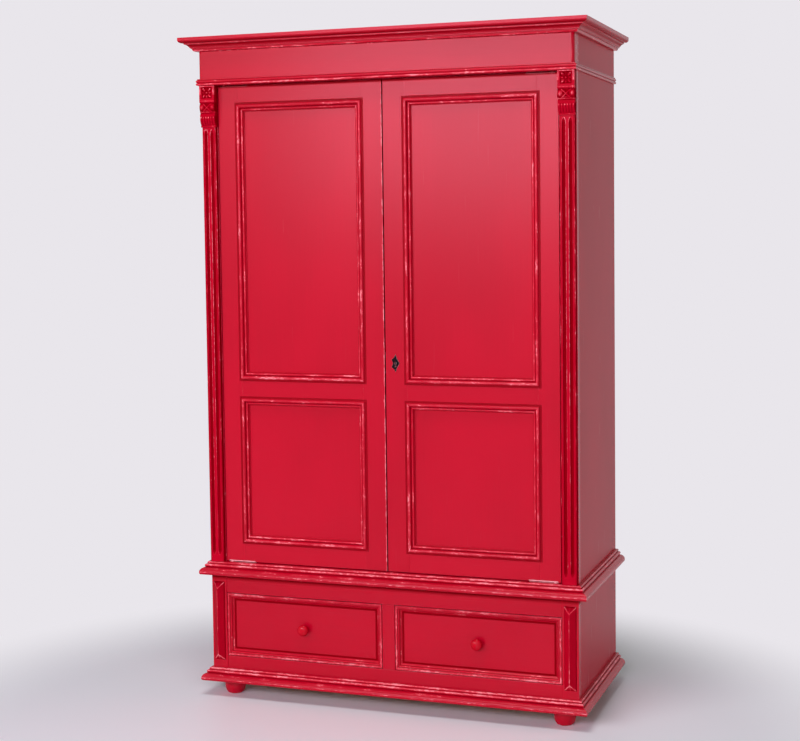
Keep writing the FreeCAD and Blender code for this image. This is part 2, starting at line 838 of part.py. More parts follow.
def flush_case_room():
    x = flush_bolt_axis()
    half = flush_case_width / 2
    y1 = y_post + door_thickness
    z0 = door_levels()[0]
    z1 = door_levels()[5]
    spans = ((z0 - overrun, z0 + flush_case_height), (z1 - flush_case_height, z1 + overrun))
    return [box(x - half, x + half, y1 - flush_case_depth, y1 + overrun, low, high) for low, high in spans]


def flush_bolt(z_end, up):
    # A flat bar with a round thumb knob that stands out of the case's slot.
    x = flush_bolt_axis()
    half = flush_bolt_width / 2
    y0 = flush_bolt_y()
    z_tip = z_end - up * flush_bolt_sink
    z_tail = z_tip - up * flush_bolt_length
    bar = box(x - half, x + half, y0, y0 + flush_bolt_thickness, min(z_tip, z_tail), max(z_tip, z_tail))
    z_knob = z_tail + up * flush_case_width / 2
    reach = y_post + door_thickness + flush_knob_height - y0 - flush_bolt_thickness
    knob = Part.makeCylinder(flush_knob_radius, reach, V(x, y0 + flush_bolt_thickness, z_knob), AXIS_Y)
    return bar.fuse(knob)


def bolt_case(z_end, up):
    # A housing flush with the door's back, with a channel for the bar and a slot for its knob.
    x = flush_bolt_axis()
    half = flush_case_width / 2
    y1 = y_post + door_thickness
    z_far = z_end - up * flush_case_height
    case = box(x - half, x + half, y1 - flush_case_depth, y1, min(z_end, z_far), max(z_end, z_far))
    z_tail = z_end - up * (flush_bolt_sink + flush_bolt_length + flush_clearance)
    z_mouth = z_end + up * overrun
    case = case.cut(flush_bolt_hole(min(z_tail, z_mouth), max(z_tail, z_mouth)))
    z_knob = z_end - up * (flush_bolt_sink + flush_bolt_length - flush_case_width / 2)
    z_gone = z_knob + up * flush_travel
    half_slot = flush_knob_radius + flush_clearance
    slot = box(x - half_slot, x + half_slot, flush_bolt_y() + flush_bolt_thickness, y1 + overrun,
               min(z_knob, z_gone) - half_slot, max(z_knob, z_gone) + half_slot)
    return case.cut(slot)


def right_door():
    stiles, rails = door_frame()
    x0, y0, y1, y_bolt, z = lock_places()
    half = lock_case_height / 2
    stiles[0] = stiles[0].cut(box(x0 - overrun, x0 + lock_case_width, y0, y1 + overrun, z - half, z + half))
    stiles[0] = stiles[0].cut(keyhole(x0 + lock_key_inset, z, y_post - overrun, y0 + overrun))
    return stiles, rails


def left_door():
    stiles, rails = door_frame()
    stiles = [mirrored(stile) for stile in stiles]
    rails = [mirrored(rail) for rail in rails]
    stiles[0] = stiles[0].cut(strike_plate()[0]).cut(strike_slot())
    for room in flush_case_room():
        stiles[0] = stiles[0].cut(room)
    return stiles, rails


def hat_shelf():
    z0 = z_waist + shelf_level
    return box(-inner_half, inner_half, y_front + shelf_front_setback, y_back_board, z0, z0 + shelf_thickness)


def shelf_batten():
    z1 = z_waist + shelf_level
    return box(inner_half - batten_thickness, inner_half, y_front + shelf_front_setback, y_back_board,
               z1 - batten_height, z1)


def rail_axis():
    return (y_post_back + y_back_board) / 2, z_waist + shelf_level - rail_drop


def rail_cup():
    # A turned cup on the side board; the rail's end sits in its socket.
    y, z = rail_axis()
    cup = Part.makeCylinder(cup_radius, cup_thickness, V(inner_half - cup_thickness, y, z), AXIS_X)
    socket = Part.makeCylinder(rail_radius + cup_clearance, cup_depth + overrun,
                               V(inner_half - cup_thickness - overrun, y, z), AXIS_X)
    return cup.cut(socket)


def clothes_rail():
    y, z = rail_axis()
    half = inner_half - cup_thickness + cup_depth
    return Part.makeCylinder(rail_radius, half * 2, V(-half, y, z), AXIS_X)


def door_stop():
    half = post_inner - stop_end_gap
    z0 = z_frieze - stop_lap
    return box(-half, half, y_post_back, y_post_back + stop_thickness, z0, z0 + stop_height)


def drawer_edges():
    x0 = centre_stile_width / 2 + drawer_clearance
    x1 = post_inner - drawer_clearance
    return x0, x1, z_drawer + drawer_clearance, z_drawer_top - drawer_clearance


def drawer_tails():
    # The ends of the right-hand drawer's sides that lock into its front.
    x0, x1, z0, z1 = drawer_edges()
    y0 = y_front + drawer_front_setback + drawer_front_thickness
    z_side = z_drawer + slide_clearance
    pitch = drawer_side_height / dovetail_count
    wide = dovetail_width / 2 + dovetail_flare
    slim = dovetail_width / 2
    tails = []
    for x in (x0, x1 - drawer_side_thickness):
        for index in range(dovetail_count):
            z = z_side + pitch * (index + 1) - pitch / 2
            plan = [V(x, y0, z - slim), V(x, y0, z + slim),
                    V(x, y0 - dovetail_length, z + wide), V(x, y0 - dovetail_length, z - wide)]
            tails.append(prism(plan, V(drawer_side_thickness, 0, 0)))
    return tails


def drawer_bottom_room(grow):
    x0, x1, z0, z1 = drawer_edges()
    y0 = y_front + drawer_front_setback + drawer_front_thickness
    z = z_drawer + slide_clearance + drawer_bottom_level
    inset = drawer_side_thickness - drawer_groove_depth
    return box(x0 + inset, x1 - inset, y0 - drawer_groove_depth, y0 + drawer_depth + grow,
               z, z + drawer_bottom_thickness)


def knob_centre():
    x0, x1, z0, z1 = drawer_edges()
    return (x0 + x1) / 2, y_front + drawer_front_setback, (z0 + z1) / 2


def drawer_front():
    x0, x1, z0, z1 = drawer_edges()
    y0 = y_front + drawer_front_setback
    y1 = y0 + drawer_front_thickness
    front = box(x0, x1, y0, y1, z0, z1).cut(drawer_bottom_room(0))
    for tail in drawer_tails():
        front = front.cut(tail)
    x, y, z = knob_centre()
    return front.cut(Part.makeCylinder(knob_tenon_radius + knob_tenon_clearance,
                                       drawer_front_thickness + overrun + overrun,
                                       V(x, y0 - overrun, z), AXIS_Y))


def drawer_sides():
    x0, x1, z0, z1 = drawer_edges()
    y0 = y_front + drawer_front_setback + drawer_front_thickness
    z_low = z_drawer + slide_clearance
    groove = drawer_bottom_room(overrun)
    tails = drawer_tails()
    sides = []
    for index, x in enumerate((x0, x1 - drawer_side_thickness)):
        side = box(x, x + drawer_side_thickness, y0, y0 + drawer_depth, z_low, z_low + drawer_side_height)
        for tail in tails[index * dovetail_count:(index + 1) * dovetail_count]:
            side = side.fuse(tail)
        sides.append(side.removeSplitter().cut(groove))
    return sides


def drawer_back():
    x0, x1, z0, z1 = drawer_edges()
    y1 = y_front + drawer_front_setback + drawer_front_thickness + drawer_depth
    z_low = z_drawer + slide_clearance + drawer_bottom_level + drawer_bottom_thickness
    z_high = z_drawer + slide_clearance + drawer_side_height
    return box(x0 + drawer_side_thickness, x1 - drawer_side_thickness, y1 - drawer_back_thickness, y1,
               z_low, z_high)


def drawer_mouldings():
    x0, x1, z0, z1 = drawer_edges()
    face = outline(drawer_moulding_shares, drawer_moulding_width, drawer_moulding_rise)
    return frame_moulding(face, x0, x1, z0, z1, y_front + drawer_front_setback)


def knob():
    # A turned mushroom knob with its tenon, drawn along +Z and laid to the front.
    centre = knob_length - knob_dome_height
    profile = [(knob_tenon_radius, -drawer_front_thickness), (knob_tenon_radius, 0),
               (knob_base_radius, 0), (knob_base_radius, knob_collar_height),
               (knob_neck_radius, knob_collar_height)]
    for step in range(knob_dome_steps + 1):
        turn = math.radians(knob_dome_start + (knob_dome_end - knob_dome_start) * step / knob_dome_steps)
        profile.append((knob_radius * math.cos(turn), centre + knob_dome_height * math.sin(turn)))
    x, y, z = knob_centre()
    return set_in(turned_in_sides(profile, knob_sides), V(x, y, z), AXIS_X, AXIS_Z, -AXIS_Y)


def right_hand_parts():
    # What both doors and drawers share, drawn for the right-hand side.
    return {"mouldings": door_mouldings(), "panels": door_panels(), "hinge_leaves": door_leaves()}


def all_nodes():
    nodes = {}
    bottom_rail, top_rail, centre_stile = lower_front_rails()
    lower_post = box(post_inner, half_width, y_front, y_front + post_thickness, z_case, z_waist_under)
    upper_post = box(post_inner, half_width, y_post, y_post_back, z_waist, z_case_top)
    nodes["bun_feet"] = bun_feet()
    base_face = outline(waist_shares, base_moulding_projection, base_moulding_height)
    waist_face = outline(waist_shares, waist_moulding_projection, waist_moulding_height)
    bead_face = outline(bead_shares, bead_projection, bead_height)
    cornice_face = outline(cornice_shares, cornice_projection, cornice_height)
    nodes["base_moulding"] = case_moulding(base_face, base_moulding_projection, y_front, z_case)
    nodes["base_board"] = [box(-inner_half, inner_half, y_rail_back, y_back_board,
                               z_case, z_case + base_board_thickness)]
    nodes["lower_side_left"] = [mirrored(lower_side_right())]
    nodes["lower_side_right"] = [lower_side_right()]
    nodes["lower_posts"] = both_sides(lower_post)
    nodes["diamond_strips"] = both_sides(diamond_strip())
    nodes["lower_bottom_rail"] = [bottom_rail]
    nodes["lower_top_rail"] = [top_rail]
    nodes["lower_centre_stile"] = [centre_stile]
    nodes["drawer_divider"] = [drawer_divider()]
    nodes["drawer_runners"] = drawer_runners()
    nodes["waist_board"] = [waist_board()]
    nodes["waist_moulding"] = case_moulding(waist_face, waist_moulding_projection, y_front,
                                            z_waist - waist_moulding_height)
    nodes["upper_side_left"] = [mirrored(upper_side_right())]
    nodes["upper_side_right"] = [upper_side_right()]
    nodes["upper_posts"] = both_sides(upper_post)
    nodes["fluted_strips"] = both_sides(fluted_strip())
    nodes["corbels"] = both_sides(corbel())
    nodes["frieze_board"] = [frieze_board()]
    nodes["upper_top_rail"] = [upper_top_rail()]
    nodes["bead_moulding"] = case_moulding(bead_face, bead_projection, y_frieze, z_frieze)
    nodes["cornice"] = case_moulding(cornice_face, cornice_projection, y_frieze, z_case_top)
    nodes["top_board"] = [box(-half_width, half_width, y_frieze, y_back,
                              z_case_top, z_case_top + top_board_thickness)]
    nodes["back_boards"] = back_boards()
    nodes["hat_shelf"] = [hat_shelf()]
    nodes["shelf_battens"] = both_sides(shelf_batten())
    nodes["clothes_rail"] = [clothes_rail()]
    nodes["rail_cups"] = both_sides(rail_cup())
    nodes["door_stop"] = [door_stop()]
    nodes["hinge_frame_leaves"] = hinge_frame_leaves()

    left_stiles, left_rails = left_door()
    right_stiles, right_rails = right_door()
    nodes["door_left_stiles"] = left_stiles
    nodes["door_left_rails"] = left_rails
    nodes["door_right_stiles"] = right_stiles
    nodes["door_right_rails"] = right_rails
    for part, solids in right_hand_parts().items():
        nodes["door_left_" + part] = [mirrored(solid) for solid in solids]
        nodes["door_right_" + part] = solids
    nodes["escutcheon"] = [escutcheon()]
    nodes["lock_case"] = [lock_case()]
    nodes["lock_bolt"] = [lock_bolt()]
    nodes["strike_plate"] = [strike_plate()[1]]
    z_door_low = door_levels()[0]
    z_door_high = door_levels()[5]
    nodes["bolt_cases"] = [bolt_case(z_door_high, 1), bolt_case(z_door_low, -1)]
    nodes["top_bolt"] = [flush_bolt(z_door_high, 1)]
    nodes["bottom_bolt"] = [flush_bolt(z_door_low, -1)]

    drawer = {"front": [drawer_front()], "sides": drawer_sides(), "back": [drawer_back()],
              "bottom": [drawer_bottom_room(0)], "mouldings": drawer_mouldings(), "knob": [knob()]}
    for part, solids in drawer.items():
        nodes["drawer_left_" + part] = [mirrored(solid) for solid in solids]
        nodes["drawer_right_" + part] = solids
    return nodes


def main():
    os.makedirs("parts", exist_ok=True)
    for name, solids in all_nodes().items():
        shape = solids[0] if len(solids) == 1 else Part.makeCompound(solids)
        if len(shape.Solids) != len(solids) or not shape.isValid():
            print("check", name, len(shape.Solids), len(solids), shape.isValid())
        shape.exportStep("parts/" + name + ".step")
    print("wrote the parts")


main()
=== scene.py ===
from functools import reduce
from itertools import accumulate
from math import atan2, cos, hypot, pi, radians, sin, sqrt

import bmesh
import bpy
from mathutils import Matrix, Vector


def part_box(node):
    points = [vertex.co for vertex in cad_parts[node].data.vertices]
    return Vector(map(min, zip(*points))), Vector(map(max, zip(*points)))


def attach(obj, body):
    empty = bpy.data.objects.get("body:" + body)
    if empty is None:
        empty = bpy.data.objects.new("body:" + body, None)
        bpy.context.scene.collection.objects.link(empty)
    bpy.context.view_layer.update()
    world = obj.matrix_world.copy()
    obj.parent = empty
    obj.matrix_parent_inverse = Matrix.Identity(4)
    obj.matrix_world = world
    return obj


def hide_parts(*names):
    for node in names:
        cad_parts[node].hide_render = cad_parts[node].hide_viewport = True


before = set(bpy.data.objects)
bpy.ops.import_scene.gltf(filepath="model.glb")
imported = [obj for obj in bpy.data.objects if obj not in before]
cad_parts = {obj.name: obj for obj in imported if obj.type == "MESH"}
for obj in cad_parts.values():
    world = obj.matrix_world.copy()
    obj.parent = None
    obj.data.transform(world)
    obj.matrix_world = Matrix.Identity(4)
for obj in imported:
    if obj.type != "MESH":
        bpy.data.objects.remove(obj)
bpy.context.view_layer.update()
print("frame loaded:", len(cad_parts), "nodes")

mm = 0.001
axisX = Vector((1, 0, 0))
axisY = Vector((0, 1, 0))
axisZ = Vector((0, 0, 1))
sides = (("left", -1), ("right", 1))


def setAll(owner, **values):
    for key, value in values.items():
        setattr(owner, key, value)
    return owner


def newObject(name, data):
    made = bpy.data.objects.new(name, data)
    bpy.context.scene.collection.objects.link(made)
    return made


# camera and light

camera = dict(
    place=(1.59312, -4.59183, 1.48784),
    turn=19.4807,    # degrees round the wardrobe, towards its right side
    drop=3.6737,    # degrees that it looks down
    roll=-0.70326,
    lens=70.108,
    shiftY=-0.0631,
)


def makeCamera():
    turn, drop, roll = (radians(camera[key]) for key in ("turn", "drop", "roll"))
    back = Vector((sin(turn) * cos(drop), -cos(turn) * cos(drop), sin(drop)))
    right = (-back).cross(axisZ).normalized()
    up = right.cross(-back)
    side = right * cos(roll) + up * sin(roll)
    top = up * cos(roll) - right * sin(roll)
    seen = newObject("camera", setAll(bpy.data.cameras.new("camera"), sensor_width=36,
                                      lens=camera["lens"], shift_y=camera["shiftY"]))
    turned = Matrix((side, top, back)).transposed()
    seen.matrix_world = Matrix.Translation(camera["place"]) @ turned.to_4x4()
    bpy.context.scene.camera = seen


lamps = dict(
    # place, what it points at, width, height, power, colour, seen in the gloss
    windowLight=((-6.2, -7.7, 4), (0, 0, 0.9), 2.4, 1.8, 115, (0.98, 0.98, 1), True),
    frontSheen=((-0.35, -5.2, 2.3), (0, 0, 1.2), 4, 1.2, 160, (1, 0.81, 1.02), True),
    ceilingLight=((0.2, -2.4, 6.5), (0.2, -0.4, 0), 3, 1.8, 150, (1, 0.97, 1), True),
    sideFill=((4.6, 0.9, 1.8), (0.6, 0, 1), 2, 2.4, 26, (1, 0.96, 1), False),
)


def makeLights():
    for name, (place, aim, width, height, power, colour, inGloss) in lamps.items():
        data = setAll(bpy.data.lights.new(name, "AREA"), shape="RECTANGLE", size=width, size_y=height,
                      energy=power, color=colour)
        turned = (Vector(aim) - Vector(place)).to_track_quat("-Z", "Y")
        setAll(newObject(name, data), location=place, rotation_mode="QUATERNION",
               rotation_quaternion=turned, visible_camera=False, visible_glossy=inGloss)


# shader maths

class Wire:
    # one output socket, so that shader maths reads as an expression
    def __init__(self, finish, socket):
        self.finish = finish
        self.socket = socket

    def maths(self, operation, *values):
        return self.finish.add("Math", {"operation": operation}, dict(enumerate(values)))

    def __add__(self, other):
        return self.maths("ADD", self, other)

    def __sub__(self, other):
        return self.maths("SUBTRACT", self, other)

    def __rsub__(self, other):
        return self.maths("SUBTRACT", other, self)

    def __mul__(self, other):
        return self.maths("MULTIPLY", self, other)

    def __abs__(self):
        return self.maths("ABSOLUTE", self)

    def larger(self, other):
        return self.maths("MAXIMUM", self, other)

    def smaller(self, other):
        return self.maths("MINIMUM", self, other)

    __radd__ = __add__
    __rmul__ = __mul__


def socketOf(sockets, key):
    # by its number, name or identifier
    return sockets[key] if isinstance(key, int) else next(
        each for each in sockets if key in (each.identifier, each.name))


class Finish:
    # one material, named anew, or the world, while its nodes are laid
    def __init__(self, owner):
        self.owner = bpy.data.materials.new(owner) if isinstance(owner, str) else owner
        self.owner.use_nodes = True
        self.tree = self.owner.node_tree
        self.tree.nodes.clear()

    def add(self, kind, settings=None, values=None, out=0):
        node = setAll(self.tree.nodes.new("ShaderNode" + kind), **(settings or {}))
        for key, value in (values or {}).items():
            socket = socketOf(node.inputs, key)
            if isinstance(value, Wire):
                self.tree.links.new(value.socket, socket)
            else:
                socket.default_value = value
        return Wire(self, socketOf(node.outputs, out)) if len(node.outputs) else None

    def blend(self, first, second, mask):
        return self.add("Mix", {"data_type": "RGBA"},
                        {"A_Color": first, "B_Color": second, "Factor_Float": mask}, "Result_Color")

    def stretched(self, vector, scale):
        return self.add("VectorMath", {"operation": "MULTIPLY"}, {0: vector, 1: scale})

    def noise(self, flow, scale, detail):
        # scale: patches a metre along the grain, across it and through it
        return self.add("TexNoise", None,
                        {"Vector": self.stretched(flow, scale), "Scale": 1, "Detail": detail})

    def step(self, value, low, high):
        return self.add("MapRange", {"interpolation_type": "SMOOTHSTEP"},
                        {"Value": value, "From Min": low, "From Max": high})

    def parts(self, vector):
        return [self.add("SeparateXYZ", None, {0: vector}, out) for out in range(3)]

    def boardFlow(self, grain):
        # object coordinates, turned so that the first runs along the grain
        places = self.parts(self.places())
        order = {"X": (0, 2, 1), "Y": (1, 0, 2), "Z": (2, 0, 1)}[grain]
        return self.add("CombineXYZ", None, {i: places[k] for i, k in enumerate(order)})

    def places(self):
        return self.add("TexCoord", out="Object")

    def attribute(self, name):
        return self.add("Attribute", {"attribute_name": name}, out="Vector")

    def close(self, colour, roughness, height, look, metal=0, dull=None):
        # dull: where the surface has lost nine tenths of its gloss
        bump = self.add("Bump", None,
                        {"Height": height, "Strength": look["bump"], "Distance": look["depth"]})
        shader, dry = [self.add("BsdfPrincipled", None,
                                {"Base Color": colour, "Roughness": roughness, "Normal": bump,
                                 "Metallic": metal, "Specular IOR Level": gloss}) if gloss or dull else None
                       for gloss in (look["gloss"], 0)]
        if dull:
            shader = self.add("MixShader", None, {0: dull * 0.9, 1: shader, 2: dry})
        self.add("OutputMaterial", None, {"Surface": shader})
        return self.owner

    def seenRays(self):
        # 1 for rays from the camera, in a reflection or through glass
        rays = [self.add("LightPath", out=name)
                for name in ("Is Camera Ray", "Is Glossy Ray", "Is Transmission Ray")]
        return rays[0].larger(rays[1]).larger(rays[2])


# paint and wood

paintLook = dict(
    red=(0.55, 0.0008, 0.020, 1),
    deepRed=(0.47, 0.0005, 0.016, 1),
    shadowRed=(0.25, 0, 0.004, 1),
    thinned=(0.84, 0.07, 0.105, 1),    # the red rubbed thin over the undercoat
    undercoat=(0.94, 0.27, 0.30, 1),
    roughness=0.26,
    bump=0.09,
    depth=0.0004,
    gloss=0.185,
    sideGloss=0.03,    # the sides have gone duller
    # patches a metre along the grain, across it and through it, and the detail in them
    cloud=((1.4, 3, 3), 2),
    brush=((5, 240, 240), 3),
    fine=((60, 900, 900), 2),
    grain=((2.5, 75, 75), 4),
    patch=((17, 40, 40), 4),
    chips=((85, 420, 420), 3),
    deepParts=(0.35, 0.65),    # clouds that turn to the deep red
    thin=(1.2, 0.5, 0.40, 0.80),    # shares of patch and chips, wear at the start and when done
    bare=(1.8, 1.9, 0.84, 1.00),
    relief=(0.35, 0.15, 0.45),    # heights of brush, fine and grain
    rougher=(0.06, 0.40, 0.25),    # by brush marks, in painted shade, on bare undercoat
)


def paintOver(finish, flow, look, wear=None, paintedShade=None, wood=None):
    # red paint with brush marks, rubbed away where wear is high, darkened to the shadow red where painted
    # shade is
    cloud, brush, fine, grain = [finish.noise(flow, *look[key])
                                 for key in ("cloud", "brush", "fine", "grain")]
    byBrush, inPaintedShade, onBare = look["rougher"]
    brushHigh, fineHigh, grainHigh = look["relief"]
    deep = finish.step(cloud * 0.85 + brush * 0.15, *look["deepParts"])
    colour = finish.blend(look["red"], look["deepRed"], deep * 0.7)
    roughness = look["roughness"] + (brush - 0.5) * byBrush
    height = brush * brushHigh + fine * fineHigh + grain * grainHigh
    if paintedShade is not None:
        # painted shade: the shadow red laid into grooves, gaps and bands under mouldings
        colour = finish.blend(colour, look["shadowRed"], paintedShade * (0.75 + 0.5 * grain))
        roughness = roughness + paintedShade * inPaintedShade
    if wear is not None:
        patch, chips = [finish.noise(flow, *look[key]) for key in ("patch", "chips")]
        thin, bare = [finish.step(wear + (patch - 0.5) * byPatch + (chips - 0.5) * byChips, start, done)
                      for byPatch, byChips, start, done in (look["thin"], look["bare"])]
        colour = finish.blend(colour, look["thinned"], thin * 0.7)
        colour = finish.blend(colour, look["undercoat"], bare)
        roughness = roughness + bare * onBare
        height = height - bare * 0.5
    if wood is not None:
        mask, woodColour, woodRoughness = wood
        colour = finish.blend(colour, woodColour, mask)
        roughness = roughness + (woodRoughness - roughness) * mask
    return colour, roughness, height


def carvedPaint(name, **changes):
    # for turned, carved and moulded pieces, which carry their own flow, wear and painted shade
    look = dict(paintLook, **changes)
    finish = Finish(name)
    wear, paintedShade, _ = finish.parts(finish.attribute("wearAndShade"))
    return finish.close(*paintOver(finish, finish.attribute("flow"), look, wear, paintedShade), look, dull=paintedShade)


woodLook = dict(
    pine=dict(pale=(0.71, 0.47, 0.245, 1), dark=(0.47, 0.25, 0.095, 1),
             knot=(0.19, 0.075, 0.025, 1), bands=((1.3, 58, 58), 5),
             roughness=0.52, bump=0.25, depth=0.0005, gloss=0.35),
    beech=dict(pale=(0.60, 0.37, 0.20, 1), dark=(0.45, 0.25, 0.12, 1),
              knot=(0.33, 0.16, 0.07, 1), bands=((1.3, 130, 130), 5),
              roughness=0.42, bump=0.15, depth=0.0003, gloss=0.4),
)
grainLook = dict(    # alike in both woods
    drift=((1.1, 7, 7), 3), pores=((24, 900, 900), 2), knots=(1.9, 7.5, 7.5),
    knotEdge=(0.035, 0.10), rings=(0.42, 0.80), poreRoughness=0.16,
)


def woodGrain(finish, flow, look):
    drift, bands, pores = [finish.noise(flow, *scales)
                           for scales in (grainLook["drift"], look["bands"], grainLook["pores"])]
    spots = finish.add("TexVoronoi", None,
                       {"Vector": finish.stretched(flow, grainLook["knots"]), "Scale": 1}, "Distance")
    knot = 1 - finish.step(spots + (bands - 0.5) * 0.08, *grainLook["knotEdge"])
    ring = finish.step(bands * 0.75 + drift * 0.5 - knot * 0.25, *grainLook["rings"])
    colour = finish.blend(look["pale"], look["dark"], ring)
    colour = finish.blend(colour, look["knot"], knot * 0.85)
    roughness = look["roughness"] + (pores - 0.5) * grainLook["poreRoughness"]
    return colour, roughness, bands * 0.5 + pores * 0.4


def bareWood(name, kind, grain):
    finish = Finish(name)
    return finish.close(*woodGrain(finish, finish.boardFlow(grain), woodLook[kind]), woodLook[kind])


boardLook = dict(
    fade=1.5 * mm,    # in which the painted shade of a depth begins and ends
    inFrame=(4 * mm, 8 * mm),    # from the frame into its field: painted shade, then none
    aroundFrame=(-2.5 * mm, -1 * mm),    # outside a frame: no painted shade, then painted shade
    shadowBandCore=0.3,    # share of a painted shadow band that is fully dark
    handWear=0.95,
    rubbedPatch=((3, 9, 9), 1),
    paintEnd=0.6 * mm,    # in which the paint gives way to bare wood
)


def insideField(places, field):
    # how far a place lies inside a field, from its middle and half size in x and z; alike on both sides
    (middleX, halfX), (middleZ, halfZ) = field
    inX = halfX - abs(abs(places[0]) - middleX)
    inZ = halfZ - abs(places[2] - middleZ)
    return inX.smaller(inZ)


def boardPaint(name, grain, pineInside=None, rubbedEdge=None, rubbed=None, gloss=None, darkDepths=None,
               shadowBand=None, framed=None, around=()):
    # For flat boards. pineInside: an axis, the side that is painted and where the bare wood ends.
    # rubbedEdge: axis, level and width of an edge that hands have worn pale. darkDepths: from where to
    # where behind the face the edges of a board carry painted shade. shadowBand: height and width of a band
    # of painted shadow. framed: a field with painted shade where its frame meets it. around: fields whose
    # frames have a rim of painted shade.
    finish = Finish(name)
    flow = finish.boardFlow(grain)
    places = finish.parts(finish.places())
    wear, wood, shades = None, None, []
    # painted shade on the edges of a board, in the gap behind its face
    if darkDepths:
        front, back = darkDepths
        fade = boardLook["fade"]
        past = finish.step(places[1], back - fade, back)
        shades.append(finish.step(places[1], front, front + fade) - past)
    # painted shadow: a dark band below a moulding
    if shadowBand:
        level, width = shadowBand
        shades.append(finish.step(places[2], level - width, level - width * boardLook["shadowBandCore"]))
    # painted shade inside the drawer fronts' frames, and round the door frames on the stiles
    if framed:
        shades.append(1 - finish.step(insideField(places, framed), *boardLook["inFrame"]))
    shades += [finish.step(insideField(places, field), *boardLook["aroundFrame"]) for field in around]
    paintedShade = reduce(Wire.larger, shades) if shades else None
    if rubbedEdge:    # only on a board that has painted shade in its depths too
        axis, level, width = rubbedEdge
        near = 1 - finish.step(abs(places[axis] - level), 0, width)
        wear = near * boardLook["handWear"] * (1 - paintedShade)
    if rubbed:
        wear = finish.noise(flow, *boardLook["rubbedPatch"]) * rubbed
    if pineInside:
        axis, sign, level = pineInside
        woodColour, woodRoughness, _ = woodGrain(finish, flow, woodLook["pine"])
        painted = finish.step(places[axis] * sign, level, level + boardLook["paintEnd"])
        wood = (1 - painted, woodColour, woodRoughness)
    look = dict(paintLook, gloss=gloss or paintLook["gloss"])
    return finish.close(*paintOver(finish, flow, look, wear, paintedShade, wood), look, dull=paintedShade)


metalLook = dict(
    steel=dict(base=(0.40, 0.39, 0.375, 1), stain=(0.16, 0.12, 0.09, 1),
              bright=(0.62, 0.61, 0.60, 1), metal=1,
              roughness=0.36, bump=0.15, depth=0.0002, gloss=0.5),
    iron=dict(base=(0.005, 0.004, 0.006, 1), stain=(0.016, 0.010, 0.011, 1),
             bright=(0.80, 0.42, 0.44, 1), metal=0,
             roughness=0.6, bump=0.3, depth=0.0002, gloss=0.05),
    leaf=dict(base=(0.90, 0.44, 0.45, 1), stain=(0.72, 0.16, 0.18, 1),
             bright=(0.98, 0.62, 0.63, 1), metal=0.1,
             roughness=0.42, bump=0.3, depth=0.0002, gloss=0.3,
             paintedFrom=(1, 1.1)),    # the upper leaves still have their paint, laid in the shadow red, which also paints the shade under the bead
)
metalMarks = dict(
    cloud=((90, 90, 90), 3), scratch=((1500, 1500, 160), 2), stained=(0.48, 0.72),
)


def metal(name, kind, edges=False):
    finish = Finish(name)
    look = metalLook[kind]
    places = finish.places()
    cloud, scratch = [finish.noise(places, *metalMarks[key]) for key in ("cloud", "scratch")]
    colour = finish.blend(look["base"], look["stain"], finish.step(cloud, *metalMarks["stained"]) * 0.8)
    if edges:
        colour = finish.blend(colour, look["bright"], 0.35 + 0.9 * scratch)
    if "paintedFrom" in look:
        painted = finish.step(finish.parts(places)[2], *look["paintedFrom"])
        # the upper leaves take the shadow red: their paint, darkened as painted shade
        colour = finish.blend(colour, paintLook["shadowRed"], painted)
    roughness = look["roughness"] + (cloud - 0.5) * 0.3 + (scratch - 0.5) * 0.2
    return finish.close(colour, roughness, cloud * 0.5 + scratch * 0.5, look, look["metal"])


# mesh building

class Shell:
    # points and faces of one piece, with flow along and across each stretch and wearAndShade: wear and
    # painted shade
    def __init__(self):
        self.points, self.faces, self.flow, self.wearAndShade = [], [], [], []

    def lay(self, rings, flows, wearAndShades):
        # adds rings of equal length; returns the number of the first point and this length
        first = len(self.points)
        for ring, flow, wearAndShade in zip(rings, flows, wearAndShades):
            self.points += [tuple(point) for point in ring]
            self.flow += flow
            self.wearAndShade += wearAndShade
        return first, len(rings[0])

    def skin(self, rings, flows, wearAndShades):
        # joins the rings to a bar and closes both ends
        first, size = self.lay(rings, flows, wearAndShades)
        for row in range(len(rings) - 1):
            low = first + row * size
            for i in range(size):
                j = (i + 1) % size
                self.faces.append((low + i, low + j, low + size + j, low + size + i))
        self.faces.append(tuple(range(first, first + size)))
        self.faces.append(tuple(range(first + size * (len(rings) - 1), first + size * len(rings))))

    def mirror(self):
        # adds the same again on the other side of the wardrobe
        count = len(self.points)
        self.points += [(-x, y, z) for x, y, z in self.points]
        self.faces += [tuple(count + i for i in reversed(face)) for face in self.faces]
        self.flow += [(a, b, c + 3.7) for a, b, c in self.flow]    # so that its marks differ
        self.wearAndShade += self.wearAndShade[:count]


def makePiece(name, shell, paint, body, node, crease=32):
    # crease: degrees between facets, from which their edge stays sharp
    mesh = bpy.data.meshes.new(name)
    mesh.from_pydata(shell.points, [], shell.faces)
    work = bmesh.new()
    work.from_mesh(mesh)
    bmesh.ops.recalc_face_normals(work, faces=work.faces)
    work.to_mesh(mesh)
    work.free()
    for title, values in (("flow", shell.flow), ("wearAndShade", shell.wearAndShade)):
        mesh.attributes.new(title, "FLOAT_VECTOR", "POINT").data.foreach_set(
            "vector", [number for value in values for number in value])
    mesh.polygons.foreach_set("use_smooth", [True] * len(mesh.polygons))
    mesh.set_sharp_from_angle(angle=radians(crease))
    mesh.materials.append(paint)
    piece = newObject(name, mesh)
    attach(piece, body)
    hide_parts(node)


